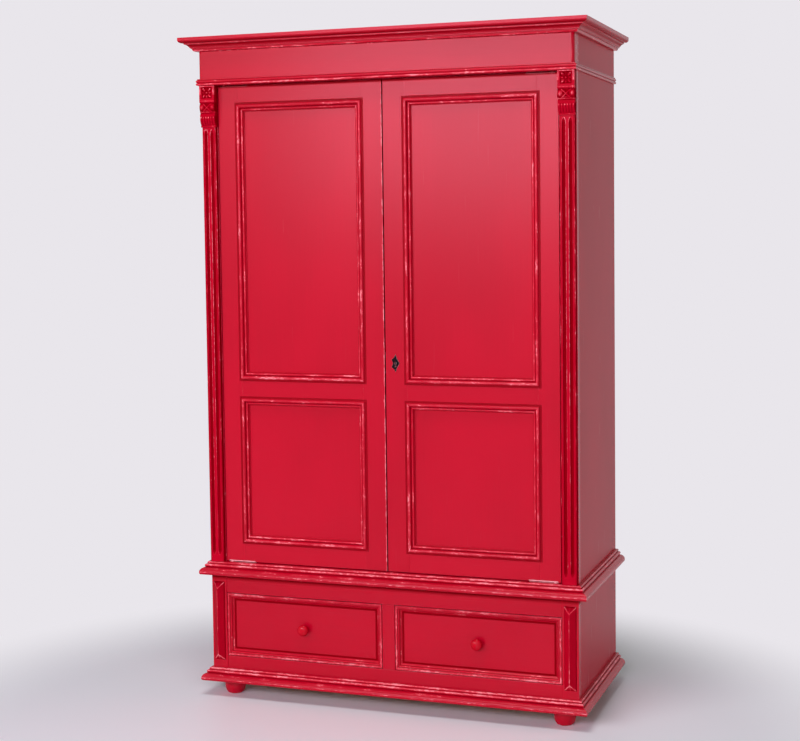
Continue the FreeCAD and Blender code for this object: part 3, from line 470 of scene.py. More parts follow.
def arcThrough(start, middle, end, steps):
    # points of the arc after its start
    (ax, ay), (bx, by), (cx, cy) = start, middle, end
    d = 2 * (ax * (by - cy) + bx * (cy - ay) + cx * (ay - by))
    sa, sb, sc = ax * ax + ay * ay, bx * bx + by * by, cx * cx + cy * cy
    ox = (sa * (by - cy) + sb * (cy - ay) + sc * (ay - by)) / d
    oy = (sa * (cx - bx) + sb * (ax - cx) + sc * (bx - ax)) / d
    radius = hypot(ax - ox, ay - oy)
    first, last = atan2(ay - oy, ax - ox), atan2(cy - oy, cx - ox)
    way = 1 if (bx - ax) * (cy - by) - (by - ay) * (cx - bx) > 0 else -1
    turn = way * ((way * (last - first)) % (2 * pi))
    turns = [first + turn * i / steps for i in range(1, steps + 1)]
    return [(ox + radius * cos(here), oy + radius * sin(here)) for here in turns]


rounding = dict(
    corner=14,    # degrees from which a corner of a moulding is rounded
    reach=0.3,    # the most of a short stretch that this may take
    edgeWearAndShade=0.7,    # how much of a corner's wear and painted shade is left where its rounding ends
    quiet=(3.2, 0.45),    # where the wear and painted shade have faded: in reaches, but at most this part of the stretch
    quietWearAndShade=0.08,
)


def section(rows, depth, height, soften=0.5 * mm, arcSteps=9):
    # A closed outline of (out, up, wear and painted shade) from rows of shares, its corners slightly
    # rounded. A row of three is a straight stretch to its place, one of five an arc to it through the place
    # named first. The last number of a row says how the stretch fares: above 0 rubbed, below 0 darkened
    # with painted shade.
    dense = []
    for row in rows:
        end = (row[-3] * depth, row[-2] * height)
        if len(row) == 5:
            middle = (row[0] * depth, row[1] * height)
            arc = arcThrough(dense[-1][0], middle, end, arcSteps)
            for i, point in enumerate(arc[:-1]):
                crest = sin(pi * (i + 1) / arcSteps)
                dense.append((point, row[-1] * (crest ** 1.6 if row[-1] > 0 else crest), False))
            dense.append((end, row[-1] * 0.3, True))
        else:
            dense.append((end, row[-1], True))
    made = []
    reaches, part = rounding["quiet"]
    for i, (point, wearAndShade, corner) in enumerate(dense):
        here = Vector(point)
        before = here - Vector(dense[i - 1][0])
        after = Vector(dense[(i + 1) % len(dense)][0]) - here
        if not corner or min(before.length, after.length) < 1e-6 or \
                before.angle(after) < radians(rounding["corner"]):
            made.append((*point, wearAndShade))
            continue
        for side, way in ((-1, before), (1, after)):
            reach = min(soften, way.length * rounding["reach"])
            edge = here + way.normalized() * reach * side
            quiet = here + way.normalized() * min(reach * reaches, way.length * part) * side
            stretch = [(*quiet, wearAndShade * rounding["quietWearAndShade"]), (*edge, wearAndShade * rounding["edgeWearAndShade"]),
                       (*((edge + here) / 2), wearAndShade)]
            made += stretch[::-side]
    return made


def along(outline):
    # distance round the outline up to each of its points
    steps = (hypot(x - u, y - v) for (u, v, _), (x, y, _) in zip(outline, outline[1:]))
    return list(accumulate(steps, initial=0))


# splits a signed value into wear above 0 and painted shade below 0
def splitWearAndShade(value):
    return (max(value, 0), max(-value, 0), 0)


barStep = 14 * mm    # between the rings of points along a moulding


def addBar(shell, outline, origin, run, out, up, length, cuts, seed, worn=1, dark=1):
    # one mitred length of a moulding; cuts are 1 on an outer corner, -1 on an inner one
    steps = max(2, round(length / barStep))
    across = along(outline)
    rings, flows = [], []
    for step in range(steps + 1):
        t = step / steps
        ways = [-cuts[0] * o * (1 - t) + (length + cuts[1] * o) * t for o, _, _ in outline]
        rings.append([Vector(origin) + run * s + out * o + up * u for s, (o, u, _) in zip(ways, outline)])
        flows.append([(s + seed * 1.37, way, seed * 0.61) for s, way in zip(ways, across)])
    # worn scales the wear, dark the painted shade
    wearAndShades = [[splitWearAndShade(wearAndShade * (worn if wearAndShade > 0 else dark)) for _, _, wearAndShade in outline]] * (steps + 1)
    shell.skin(rings, flows, wearAndShades)


def addRound(shell, outline, centre, axis, seed, segments=56):
    # a turned solid from (radius, place along the axis, wear and painted shade), the first two in
    # millimetres
    outline = [(radius * mm, place * mm, wearAndShade) for radius, place, wearAndShade in outline]
    side = axisX if abs(axis.x) < 0.5 else axisY
    other = axis.cross(side)
    across = along(outline)
    turns = [2 * pi * step / segments for step in range(segments)]
    rings = [[Vector(centre) + axis * place + (side * cos(turn) + other * sin(turn)) * radius
              for radius, place, _ in outline] for turn in turns]
    flows = [[(way, turn * 0.02, seed) for way in across] for turn in turns]
    wearAndShades = [[splitWearAndShade(wearAndShade) for _, _, wearAndShade in outline]] * segments
    first, size = shell.lay(rings, flows, wearAndShades)
    for step in range(segments):
        low, high = first + step * size, first + (step + 1) % segments * size
        shell.faces += [(low + i, low + i + 1, high + i + 1, high + i) for i in range(size - 1)]
    for end in (0, size - 1):
        shell.faces.append(tuple(first + step * size + end for step in range(segments)))


# sizes that the pieces share, read from the frame

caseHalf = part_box("waist_board")[1].x
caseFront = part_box("lower_posts")[0].y
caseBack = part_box("back_boards")[1].y
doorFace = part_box("upper_posts")[0].y
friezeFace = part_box("frieze_board")[0].y


# mouldings round the case

# the two beads' high wear is partly painted highlight; the negative stretches are painted shade in the
# quirks
waistRows = (
    (0, 1, 0), (0.1, 1, 0.45), (0.1, 0.96, -0.9), (0.33, 0.88, 0.28, 0.81, 0.8), (0.285, 0.79, -0.95),
    (0.54, 0.71, 0.5, 0.6, 0.86), (0.44, 0.57, -1), (0.53, 0.54, -0.95), (0.9, 0.4, 1, 0.25, 0.5),
    (1, 0.22, 0.8), (1, 0.16, 0.45), (1, 0.09, 0.3), (0.92, 0, 0.4), (0, 0, -0.3),
)
caseMouldings = dict(
    corniceMoulding=dict(
        stands="cornice", face=friezeFace, depth=47 * mm, height=40 * mm,
        rows=(
            (0, 1, 0), (1, 1, 0.5), (1, 0.77, 0.15), (0.94, 0.66, 0.74, 0.6, -0.8), (0.69, 0.6, -0.8),
            (0.69, 0.5, 0.75), (0.67, 0.495, -0.6), (0.52, 0.42, 0.42, 0.27, -0.85),
            (0.38, 0.27, -0.4), (0.38, 0.2, 0.4), (0.29, 0.18, -0.9), (0.26, 0.06, 0.12, 0, 0.6),
            (0, 0, 0),
        ),
    ),
    beadMoulding=dict(
        stands="bead_moulding", face=friezeFace, depth=7 * mm, height=20 * mm,
        rows=(
            (0, 1, 0), (0.55, 1, 0.15), (0.55, 0.83, -1), (1, 0.61, 0.58, 0.42, 0.3), (0.5, 0.39, -1),
            (1, 0.2, 0.5, 0, 0.74), (0, 0, -1),
        ),
    ),
    waistMoulding=dict(
        stands="waist_moulding", face=caseFront, depth=30 * mm, height=40 * mm, rows=waistRows,
    ),
    baseMoulding=dict(
        stands="base_moulding", face=caseFront, depth=30 * mm, height=39 * mm, rows=waistRows,
    ),
)
returnWearAndShade = (0.75, 0.55)    # the sides are less rubbed, and have less painted shade in their quirks


def makeCaseMouldings(paint):
    for seed, (name, spec) in enumerate(caseMouldings.items()):
        outline = section(spec["rows"], spec["depth"], spec["height"])
        face, low = spec["face"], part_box(spec["stands"])[0].z
        depth = caseBack - face
        shell = Shell()
        for x, y, run, out, length, cuts, apart, wearAndShade in (
                (caseHalf, face, -axisX, -axisY, 2 * caseHalf, (1, 1), 0, (1, 1)),
                (caseHalf, caseBack, -axisY, axisX, depth, (0, 1), 5, returnWearAndShade),
                (-caseHalf, face, axisY, -axisX, depth, (1, 0), 9, returnWearAndShade)):
            addBar(shell, outline, (x, y, low), run, out, axisZ, length, cuts, seed + apart, *wearAndShade)
        makePiece(name, shell, paint, "root", spec["stands"])


# framed mouldings on doors and drawers

doorFrames = dict(
    width=26.5 * mm, lap=8 * mm, setback=11 * mm, rise=6.5 * mm, gap=0.2 * mm,
    soften=0.3 * mm,
    rails=(66 * mm, 509 * mm, 576 * mm),    # edges of the lower two rails, from the door's foot
    topRail=60 * mm,
    rows=(    # the part over the door's face, outside first
        (0, 0.04, -1), (0.06, 0.045, -1), (0.11, 0.05, -1), (0.17, 0.06, -1),
        (0.35, 1.02, 0.56, 0, 0.7), (0.57, -0.45, -1), (0.62, -0.6, -1),
        (0.75, -0.12, 0.89, -0.85, 0.68), (0.92, -1.2, -1), (1, -1.35, -1),
    ),
)
drawerFrames = dict(
    width=19 * mm, rise=12.5 * mm, soften=0.6 * mm,
    rows=(
        (0, 0, -1), (0, 0.93, -1), (0.03, 1, 0.9), (0.14, 1, 0.84), (0.26, 1, 0.78), (0.37, 1, 0.8),
        (0.39, 0.84, -1), (0.43, 0.78, -1), (0.56, 0.76, 0.66, 0.48, 0.55), (0.68, 0.4, -1),
        (0.72, 0.38, -0.8), (0.8, 0.26, 0.6), (0.94, 0.06, 0.3), (1, 0, -1),
    ),
)
frameWearAndLight = (1, 0.86, 0.76, 0.86)    # how much the bottom, right, top and left of a frame are rubbed; partly wear, partly painted light: the bottom made paler and the top darker for how the light falls


def addFrame(shell, outline, field, sign, face, seed):
    # field: from and to in x and z, on the right-hand side
    (x0, x1), (z0, z1) = sorted(sign * x for x in field[:2]), field[2:]
    bars = (((x0, z0), axisX, axisZ, x1 - x0), ((x1, z0), axisZ, -axisX, z1 - z0),
            ((x1, z1), -axisX, -axisZ, x1 - x0), ((x0, z1), -axisZ, axisX, z1 - z0))
    for i, ((x, z), run, out, length) in enumerate(bars):
        addBar(shell, outline, (x, face, z), run, out, -axisY, length, (-1, -1), seed + i, frameWearAndLight[i])


def doorMouldingSection():
    # over the door's face, down to the panel, and round the rebate that seats on the frame
    spec = doorFrames
    width, lap, setback, gap = spec["width"], spec["lap"], spec["setback"], spec["gap"]
    rows = [(*[value * width if i % 2 == 0 else setback + value * spec["rise"]
               for i, value in enumerate(row[:-1])], row[-1]) for row in spec["rows"]]
    rows += [(width, gap, -0.6), (lap, gap, 0), (lap, setback, 0), (0, setback, 0)]
    return section(rows, 1, 1, spec["soften"])


def doorFields():
    # where the two mouldings of the right door lie, in x and z
    (low, high), (start, end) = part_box("door_right_stiles"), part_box("door_right_mouldings")
    levels = [*(low.z + rail for rail in doorFrames["rails"]), high.z - doorFrames["topRail"]]
    return [(start.x, end.x, z0 - doorFrames["lap"], z1 + doorFrames["lap"])
            for z0, z1 in (levels[:2], levels[2:])]


def makeDoorMouldings(paint):
    outline = doorMouldingSection()
    for side, sign, seed in (("left", -1, 37), ("right", 1, 20)):
        shell = Shell()
        for i, field in enumerate(doorFields()):
            addFrame(shell, outline, field, sign, doorFace + doorFrames["setback"], seed + 10 * i)
        body = "door_" + side
        makePiece(side + "DoorMouldings", shell, paint, body, body + "_mouldings")


def makeDrawerMouldings(paint):
    outline = section(*(drawerFrames[key] for key in ("rows", "width", "rise", "soften")))
    low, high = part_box("drawer_right_front")
    for side, sign in sides:
        shell = Shell()
        addFrame(shell, outline, (low.x, high.x, low.z, high.z), sign, low.y, 50 + 11 * sign)
        body = "drawer_" + side
        makePiece(side + "DrawerMouldings", shell, paint, body, body + "_mouldings")


# turned feet and knobs

# all sizes here are in millimetres

axisGap = 0.4    # a turned outline starts and ends this near its axis
foot = dict(
    sole=21, belly=34, bellyHeight=36, top=31, neck=6, height=50, insetX=53, insetY=46, steps=14,
)
knob = dict(
    radius=17.5, length=29, dome=11, low=-62, high=86, steps=24,
    base=9.5, collar=3, neck=7, tenon=4.4, tenonLength=19.8,
    paint=dict(red=(0.62, 0.0005, 0.016, 1), deepRed=(0.56, 0.0004, 0.014, 1), gloss=0.16,
              roughness=0.08, bump=0.03),    # polished by hands; its red is a lighter copy of the paint's red, painted light on the knob
)


def makeFeet(paint):
    sole, belly, top, high = foot["sole"], foot["belly"], foot["top"], foot["height"]
    widest, shoulder = foot["bellyHeight"], high - foot["neck"]
    outline = [(axisGap, 0, 0), (sole - 1.2, 0, 0.2), (sole - 0.2, 0.5, 0.6)]
    for step in range(1, foot["steps"] + 1):
        turn = radians(90 * step / foot["steps"])
        wearAndShade = 0.3 if step > foot["steps"] - 3 else 0.05
        outline.append((sole + (belly - sole) * sin(turn), widest * (1 - cos(turn)), wearAndShade))
    # the negative values are painted shade in the quirk at the shoulder and up the neck
    outline += [(belly - 0.6, widest + 4, 0.4), (top + 0.5, shoulder - 0.6, 0.1),
                (top - 0.4, shoulder, -0.9), (top - 0.2, shoulder + 1, -0.3),
                (top - 0.1, high - 0.5, -0.5), (top - 1, high - 0.2, -0.5), (axisGap, high - 0.2, 0)]
    shell = Shell()
    seed = 0
    insetX, insetY = foot["insetX"] * mm, foot["insetY"] * mm
    for x in (insetX - caseHalf, caseHalf - insetX):
        for y in (caseFront + insetY, caseBack - insetY):
            addRound(shell, outline, (x, y, 0), axisZ, seed)
            seed += 1
    makePiece("bunFeet", shell, paint, "root", "bun_feet")


def makeKnobs(paint):
    centre = knob["length"] - knob["dome"]
    base, collar, neck, tenon = knob["base"], knob["collar"], knob["neck"], knob["tenon"]
    # negative values are painted shade at the base, under the collar and at the neck
    outline = [(tenon, -knob["tenonLength"], 0), (tenon, -0.3, -0.5), (base - 0.6, 0.1, -0.8),
               (base, 0.7, 0.1), (base, collar - 0.7, 0.45), (base - 0.7, collar, 0.3),
               (neck + 0.5, collar + 0.2, -0.9), (neck, collar + 1, -0.8)]
    for step in range(knob["steps"] + 1):
        share = step / knob["steps"]
        turn = radians(knob["low"] + (knob["high"] - knob["low"]) * share)
        outline.append((knob["radius"] * cos(turn), centre + knob["dome"] * sin(turn),
                        -0.6 * (1 - share)))    # painted shade under the head, fading towards the top of the dome
    outline.append((axisGap, outline[-1][1] + 0.02, 0))
    low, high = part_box("drawer_right_front")
    middle = (low + high) / 2
    for side, sign in sides:
        shell = Shell()
        addRound(shell, outline, (sign * middle.x, low.y, middle.z), -axisY, 60 + sign)
        body = "drawer_" + side
        makePiece(side + "DrawerKnob", shell, paint, body, body + "_knob")


# strips on the corner posts

flutes = dict(
    width=46 * mm, arris=3 * mm, radius=5.5 * mm, deep=4.6 * mm, centre=10 * mm,
    runOut=16 * mm, low=20 * mm, high=4 * mm,
    beside=1.1 * mm, besideDeep=0.3 * mm,    # the wood is rubbed as near as this to a flute
    arrisBand=(0.1 * mm, 1 * mm),    # and so is the arris between these falls
    innerWear=1, outerWear=0.5, arrisWear=0.6, flatWear=0.15,
    wornFrom=0.6,    # share of the height above which the wear is full
    # painted shade: the flutes darken past darkDeep, the rounded arris past darkCorner
    darkDeep=0.9 * mm, darkCorner=1.5 * mm,
    border=1.5 * mm,    # outside the flutes, from which it has half painted shade
    seed=0.3, beyond=20 * mm,    # how far its flow runs on to the back
)
hips = dict(
    width=37 * mm, rise=18.4 * mm, hip=20 * mm, inset=2 * mm, rows=90, columns=33,
    hipEdge=0.10, ridgeEdge=0.95,    # where a facet ends, in shares of its width
    hipWear=1, ridgeWear=0.66,
    quirk=0.04, shade=0.15,    # shares of the way with full and with half painted shade
    steep=40,    # the inset is climbed in a fortieth of the way
    seed=4.1,
)
unseen = (0, 1, 0)    # wear and painted shade of the points on the post: full painted shade on the strips' sides


def makeStrips(name, rows, back, paint, node, crease=32):
    # Both strips of a kind, from rows of (point, flow, wear and painted shade) over the face of the
    # right-hand one, each row with the length by which its flow runs on round to the back.
    points, flows, wearAndShades = [], [], []
    for row, beyond in rows:
        for (x, _, z), (way, across, seed), sign in ((*row[-1][:2], 1), (*row[0][:2], -1)):
            row.append(((x, back, z), (way, across + sign * beyond, seed), unseen))
        for kept, part in zip((points, flows, wearAndShades), zip(*row)):
            kept.append(part)
    shell = Shell()
    shell.skin(points, flows, wearAndShades)
    shell.mirror()
    makePiece(name, shell, paint, "root", node, crease)


def fluteDepth(away, z, z0, z1):
    # away: distance from the middle line of the strip
    rise = min(z - z0 - flutes["low"], z1 - flutes["high"] - z)
    floor = flutes["deep"] * min(1, rise / flutes["runOut"])
    radius = flutes["radius"]
    off = abs(away - flutes["centre"])
    if rise < 0 or off > radius:
        return 0
    return max(0, sqrt(radius * radius - off * off) - radius + floor)


def fluteColumns():
    # distances from the middle line, close together on the edges and in the flutes
    half, arris, radius, centre = flutes["width"] / 2, flutes["arris"], flutes["radius"], flutes["centre"]
    columns = [0, centre - radius - 1.2 * mm, centre - radius - 0.4 * mm]
    columns += [centre + radius * sin(radians(-84 + 168 * i / 20)) for i in range(21)]
    columns += [centre + radius + 0.4 * mm, centre + radius + 1.2 * mm, half - arris - 0.6 * mm]
    columns += [half - arris + arris * sin(radians(90 * i / 6)) for i in range(7)]
    return [-column for column in reversed(columns[1:])] + columns


def makeFlutedStrips(paint):
    low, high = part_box("fluted_strips")
    half, arris = flutes["width"] / 2, flutes["arris"]
    z0, z1 = low.z, high.z
    levels = [z0, z0 + 0.6 * mm, z0 + 6 * mm]    # close together where the flutes run out
    levels += [z0 + flutes["low"] - 2 * mm + 1.2 * mm * i for i in range(20)]
    levels += [z0 + 50 * mm + (z1 - z0 - 90 * mm) * i / 60 for i in range(61)]    # the plain stretch
    levels += [z1 - flutes["high"] - flutes["runOut"] - 4 * mm + 1.1 * mm * i for i in range(22)]
    levels = sorted(level for level in levels if level < z1 - 0.5 * mm) + [z1]
    rows = []
    for z in levels:
        row = []
        fullness = 0.5 + 0.5 * min(1, (z - z0) / (flutes["wornFrom"] * (z1 - z0)))
        for x in fluteColumns():
            away = abs(x)
            deep = fluteDepth(away, z, z0, z1)
            beside = max(fluteDepth(away + way * flutes["beside"], z, z0, z1) for way in (-1, 1))
            turned = max(0, away - half + arris)
            corner = arris - sqrt(max(0, arris * arris - turned * turned))
            if beside > flutes["besideDeep"]:
                wear = flutes["innerWear"] if away < flutes["centre"] else flutes["outerWear"]
            else:
                onArris = flutes["arrisBand"][0] < corner < flutes["arrisBand"][1]
                wear = flutes["arrisWear"] if onArris else flutes["flatWear"]
            # painted shade: dark in the flutes by their depth and on the rounded arris, half dark outside
            # the flutes
            if deep > flutes["darkDeep"] or corner > flutes["darkCorner"]:
                wearAndShade = (0, 0.4 + 0.6 * deep / flutes["deep"] if deep else 0.9, 0)
            else:
                outside = away > flutes["centre"] + flutes["radius"] + flutes["border"]
                wearAndShade = (wear * fullness, 0.4 if outside else 0, 0)
            row.append(((high.x - half + x, low.y + deep + corner, z), (z, x, flutes["seed"]), wearAndShade))
        rows.append((row, flutes["beyond"]))
    makeStrips("flutedStrips", rows, high.y, paint, "fluted_strips")


def makeHippedStrips(paint):
    # four facets that rise to hips and a ridge
    low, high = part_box("diamond_strips")
    half = hips["width"] / 2
    middle = high.x - half
    rows = []
    for i in range(hips["rows"] + 1):
        z = low.z + (high.z - low.z) * i / hips["rows"]
        row = []
        for k in range(hips["columns"] + 1):
            x = high.x - hips["width"] + hips["width"] * k / hips["columns"]
            sideWay = (half - abs(x - middle)) / half
            endWay = min(z - low.z, high.z - z) / hips["hip"]
            share = min(sideWay, endWay)
            onHip = abs(sideWay - endWay) < hips["hipEdge"]
            onEdge = onHip or sideWay > hips["ridgeEdge"]
            out = hips["inset"] * min(1, share * hips["steep"]) + (hips["rise"] - hips["inset"]) * share
            worn = hips["hipWear"] if onHip else hips["ridgeWear"]
            wear = worn if onEdge and share > hips["quirk"] else 0
            # painted shade: the facets darker than their worn edges, darkest at the strip's foot
            facetShade = 0 if onEdge else 0.3
            dark = 1 if share < hips["quirk"] else 0.6 if share < hips["shade"] else facetShade
            row.append(((x, high.y - out, z), (z, x, hips["seed"]), (wear, dark, 0)))
        rows.append((row, 0))
    makeStrips("hippedStrips", rows, high.y, paint, "diamond_strips")


# carved corbels

corbel = dict(
    width=50 * mm, projection=25 * mm, height=127 * mm, gadroons=6, columns=60,
    arcSteps=22, step=1.1 * mm, seed=7.3,
    arris=(0.035, 0.7 * mm),    # share of the half width, and its fall
    sunk=3.2 * mm, ribbonDeep=2.4 * mm, grooveDeep=2 * mm, dropHigh=0.6 * mm,
    darkDeep=2.8 * mm, shade=0.22,    # painted shade: the carving's depth at which it is quite dark, and how dark the uncarved face is
    leaf=(0.60, 0.83, 0.145, 0.70),    # the top block's foot, and its square: middle and half sizes
    roll=(0.36, 0.585, 0.35), lobe=(0.045, 0.345, 0.3),    # from, to, how the carving runs out
    plainWear=0.35,
    rows=(
        (0.97, 1, 0.3), (1, 0.99, 0.3), (1, 0.6, 0.45), (0.86, 0.585, -0.8),
        (1.06, 0.47, 0.84, 0.36, 0.1), (0.73, 0.345, -0.9), (0.94, 0.23, 0.58, 0.045, 0.1),
        (0.66, 0.035, 0.5), (0.66, 0.001, 0.3),
    ),
)


def bump(value, half):
    # a rounded rise, 1 in the middle and 0 at its half width
    share = min(1, abs(value) / half)
    return 1 - share * share


def leafCarving(a, b):
    # the top block: a sunk square with four leaves and a boss; returns depth and wear
    inside = min(1, max(0, (0.97 - max(abs(a), abs(b))) / 0.10))
    if not inside:    # the block's rims
        rims = ((b > 0.98, 0.78), (abs(a) > 1.18 and b > -0.4, 0.72), (-1.44 < b < -1.26, 0.62))
        return 0, next((wear for here, wear in rims if here), 0)
    petal = max(bump(a, 0.22) * bump(abs(b) - 0.62, 0.34), bump(b, 0.22) * bump(abs(a) - 0.62, 0.34))
    leaf, tip = 0.75 * petal, 0.6 * petal
    for spread, length in ((a - b, a + b), (a + b, a - b)):
        reach = abs(length) / 2
        half = 0.42 * sin(pi * min(1, reach / 0.95)) + 0.02
        leaf = max(leaf, bump(spread, half) * bump(reach - 0.50, 0.46) - 0.45 * bump(spread, 0.07))
        stroke = bump(spread, half * 0.7) * bump(reach - 0.60, 0.38)
        tip = max(tip, stroke * (0.80 + 0.20 * cos(24 * reach + 4 * a)))
    boss = bump(hypot(a, b), 0.24)
    uneven = 0.95 + 0.2 * cos(3.1 * a + 1.7 * b - 4)
    deep = inside * corbel["sunk"] * (1 - max(leaf * 0.9, boss))
    return deep, uneven * max(0.95 * tip, 0.8 * boss, 0.5 * leaf)


def rollCarving(a, b):
    # the middle roll: a crossed ribbon between puffed side leaves
    waist = 0.16 + 0.55 * abs(b)
    ribbon = abs(abs(a) - abs(b) * 0.62)
    cross = bump(ribbon, 0.15)
    side = bump(abs(a) - 0.70, 0.36) * bump(b - 0.1, 0.75) if abs(a) > waist else 0
    foot = bump(a, 0.5) * bump(b + 0.7, 0.25)
    rise = max(cross * 0.85, side, foot * 0.8)
    veins = 0.22 * (0.5 + 0.5 * cos(a * 34 + b * 6)) * (1 - cross)
    ridge = 0.66 if b < -0.88 else 0
    deep = corbel["ribbonDeep"] * (1 - rise) + veins * mm
    return deep, max((0.74 - veins) * side, 0.56 * cross, 0.5 * foot, ridge)


def gadroonCarving(a, b):
    # the lower lobe: upright gadroons with a small drop at the head of each
    lane = (a + 1) / 2 * corbel["gadroons"]
    inLane = lane % 1 - 0.5
    swell = sqrt(max(0, 1 - (inLane / 0.5) ** 2))
    drop = bump(inLane, 0.34) * bump(b - 0.26, 0.20)
    body = min(1, max(0, (0.50 - b) / 0.12))
    groove = corbel["grooveDeep"] * body * (1 - swell) * (1 - drop)
    deep = groove + 0.5 * mm * (1 - body) - corbel["dropHigh"] * drop
    return deep, 0.30 * swell * body + (0.62 + 0.2 * cos(5 * a)) * drop


def corbelCarving(a, share):
    # depth and wear at a place of the face: a from -1 to 1 across it, share of the height
    start, middle, halfHigh, halfWide = corbel["leaf"]
    if share > start:
        return leafCarving(a / halfWide, (share - middle) / halfHigh)
    for (low, high, fade), carving in ((corbel["roll"], rollCarving), (corbel["lobe"], gadroonCarving)):
        if low < share < high:
            middle, half = (low + high) / 2, (high - low) / 2
            deep, wear = carving(a, (share - middle) / half)
            return deep * bump(share - middle, half) ** fade, wear
    return 0, corbel["plainWear"]


def makeCorbels(paint):
    low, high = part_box("corbels")
    half, columns = corbel["width"] / 2, corbel["columns"]
    arris, fall = corbel["arris"]
    outline = section(corbel["rows"], corbel["projection"], corbel["height"], arcSteps=corbel["arcSteps"])
    levels = []
    for start, end in zip(outline, outline[1:]):
        steps = max(1, round((start[1] - end[1]) / corbel["step"]))
        levels += [[a + (b - a) * i / steps for a, b in zip(start, end)] for i in range(steps)]
    levels.append(outline[-1])
    levels = [level for i, level in enumerate(levels) if i == 0 or level[1] < levels[i - 1][1] - 1e-6]
    rows = []
    for out, up, wearAndShadeLevel in levels:
        row = []
        for column in range(columns + 1):
            a = 2 * column / columns - 1
            deep, wear = corbelCarving(a, up / corbel["height"])
            edge = max(0, abs(a) - 1 + arris) / arris
            wear = max(wear, wearAndShadeLevel) if wearAndShadeLevel > 0 else wear + wearAndShadeLevel * 0.3
            # painted shade: darker with the depth of the carving and on the uncarved face
            dark = min(1, deep / corbel["darkDeep"] + max(corbel["shade"], -wearAndShadeLevel))
            row.append(((high.x - half + half * a, high.y - out + deep + edge * edge * fall, low.z + up),
                        (up, a * half, corbel["seed"]),
                        (max(0, wear), dark if wear < 0.5 else 0, 0)))
        rows.append((row, out))
    makeStrips("corbelCarvings", rows, high.y, paint, "corbels", 40)


# finishes of the boards that the frame already has

dressing = dict(
    edge=1.1 * mm, fine=0.6 * mm, metal=0.25 * mm, leaf=0.3 * mm, plate=0.35 * mm,
    segments=2,
    turn=35,    # degrees between facets, from which their edge is rounded
    flat=2,    # and below which they become one
    weld=0.01 * mm,
    rubbed=0.95, lightlyRubbed=0.45,
    handEdge=6 * mm,    # the left door's edge at the meeting stile
    underBead=8 * mm, underWaist=24 * mm,    # painted shadow bands below the mouldings
    railFace=2 * mm, doorFace=1.5 * mm,    # behind these, their edges carry painted shade
    sidePaint=0.4 * mm, frontPaint=2 * mm, waistPaint=24 * mm,    # reach of the paint
)


def dress(name, main, edge=None, width=dressing["edge"]):
    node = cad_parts[name]
    node.data.materials.clear()
    node.data.materials.append(main)
    node.data.materials.append(edge or main)
    node.data.polygons.foreach_set("material_index", [0] * len(node.data.polygons))
    setAll(node.modifiers.new("weld", "WELD"), merge_threshold=dressing["weld"])
    setAll(node.modifiers.new("tidy", "DECIMATE"), decimate_type="DISSOLVE",
           angle_limit=radians(dressing["flat"]))
    setAll(node.modifiers.new("soft edges", "BEVEL"), width=width, segments=dressing["segments"],
           limit_method="ANGLE", angle_limit=radians(dressing["turn"]), material=1)


def fieldOf(x0, x1, z0, z1):
    # middle and half size in x and z
    return ((x0 + x1) / 2, (x1 - x0) / 2), ((z0 + z1) / 2, (z1 - z0) / 2)


def dressRedBoards():
    paints = {grain: boardPaint("redPaint" + grain, grain) for grain in "XYZ"}
    edges = {grain: boardPaint("rubbedEdge" + grain, grain, rubbed=dressing["rubbed"]) for grain in "XYZ"}
    lightly = {grain: boardPaint("lightlyRubbed" + grain, grain, rubbed=dressing["lightlyRubbed"])
               for grain in "XZ"}
    depths = (caseFront + dressing["railFace"], caseBack)
    # painted shadow below the waist moulding
    shadowBand = (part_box("waist_moulding")[0].z, dressing["underWaist"])
    for name, grain, shaded in (("lower_bottom_rail", "X", None), ("lower_top_rail", "X", shadowBand),
                                ("lower_centre_stile", "Z", None)):
        dress(name, boardPaint(name + "Paint", grain, darkDepths=depths, shadowBand=shaded), lightly[grain])
    dress("lower_posts", boardPaint("lowerPostPaint", "Z", shadowBand=shadowBand), lightly["Z"])
    for name, grain in (("upper_posts", "Z"), ("upper_top_rail", "X"), ("frieze_board", "X"),
                        ("top_board", "X"), ("door_stop", "Z"), ("door_left_panels", "Z"),
                        ("door_right_panels", "Z")):
        dress(name, paints[grain], edges[grain])

    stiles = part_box("door_left_stiles")
    # painted shadow below the bead, and painted shade round the door frames
    shade = {"shadowBand": (stiles[1].z, dressing["underBead"]),
             "around": [fieldOf(*field) for field in doorFields()]}
    depths = (doorFace + dressing["doorFace"], stiles[1].y - dressing["doorFace"])
    hands = (0, stiles[1].x, dressing["handEdge"])
    leftPaint = boardPaint("leftDoorPaint", "Z", rubbedEdge=hands, darkDepths=depths, **shade)
    dress("door_left_stiles", leftPaint, edges["Z"])
    dress("door_right_stiles", boardPaint("rightDoorPaint", "Z", darkDepths=depths, **shade), edges["Z"])
    doorRails = boardPaint("doorRailPaint", "X", **shade)
    dress("door_left_rails", doorRails, edges["X"])
    dress("door_right_rails", doorRails, edges["X"])

    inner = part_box("back_boards")[1].x + dressing["sidePaint"]
    for part in ("lower", "upper"):
        for side, sign in sides:
            paint = boardPaint(part + side.title() + "SidePaint", "Z", pineInside=(0, sign, inner),
                               gloss=paintLook["sideGloss"])
            dress(part + "_side_" + side, paint, edges["Z"])
    waist = boardPaint("waistPaint", "X", pineInside=(1, -1, -doorFace - dressing["waistPaint"]))
    dress("waist_board", waist, edges["X"])
    low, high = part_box("drawer_right_front")
    border = drawerFrames["width"]
    fronts = boardPaint("drawerFrontPaint", "X", pineInside=(1, -1, dressing["frontPaint"] - high.y),
                        framed=fieldOf(low.x + border, high.x - border, low.z + border, high.z - border))
    for side, _ in sides:
        dress("drawer_" + side + "_front", fronts, edges["X"])


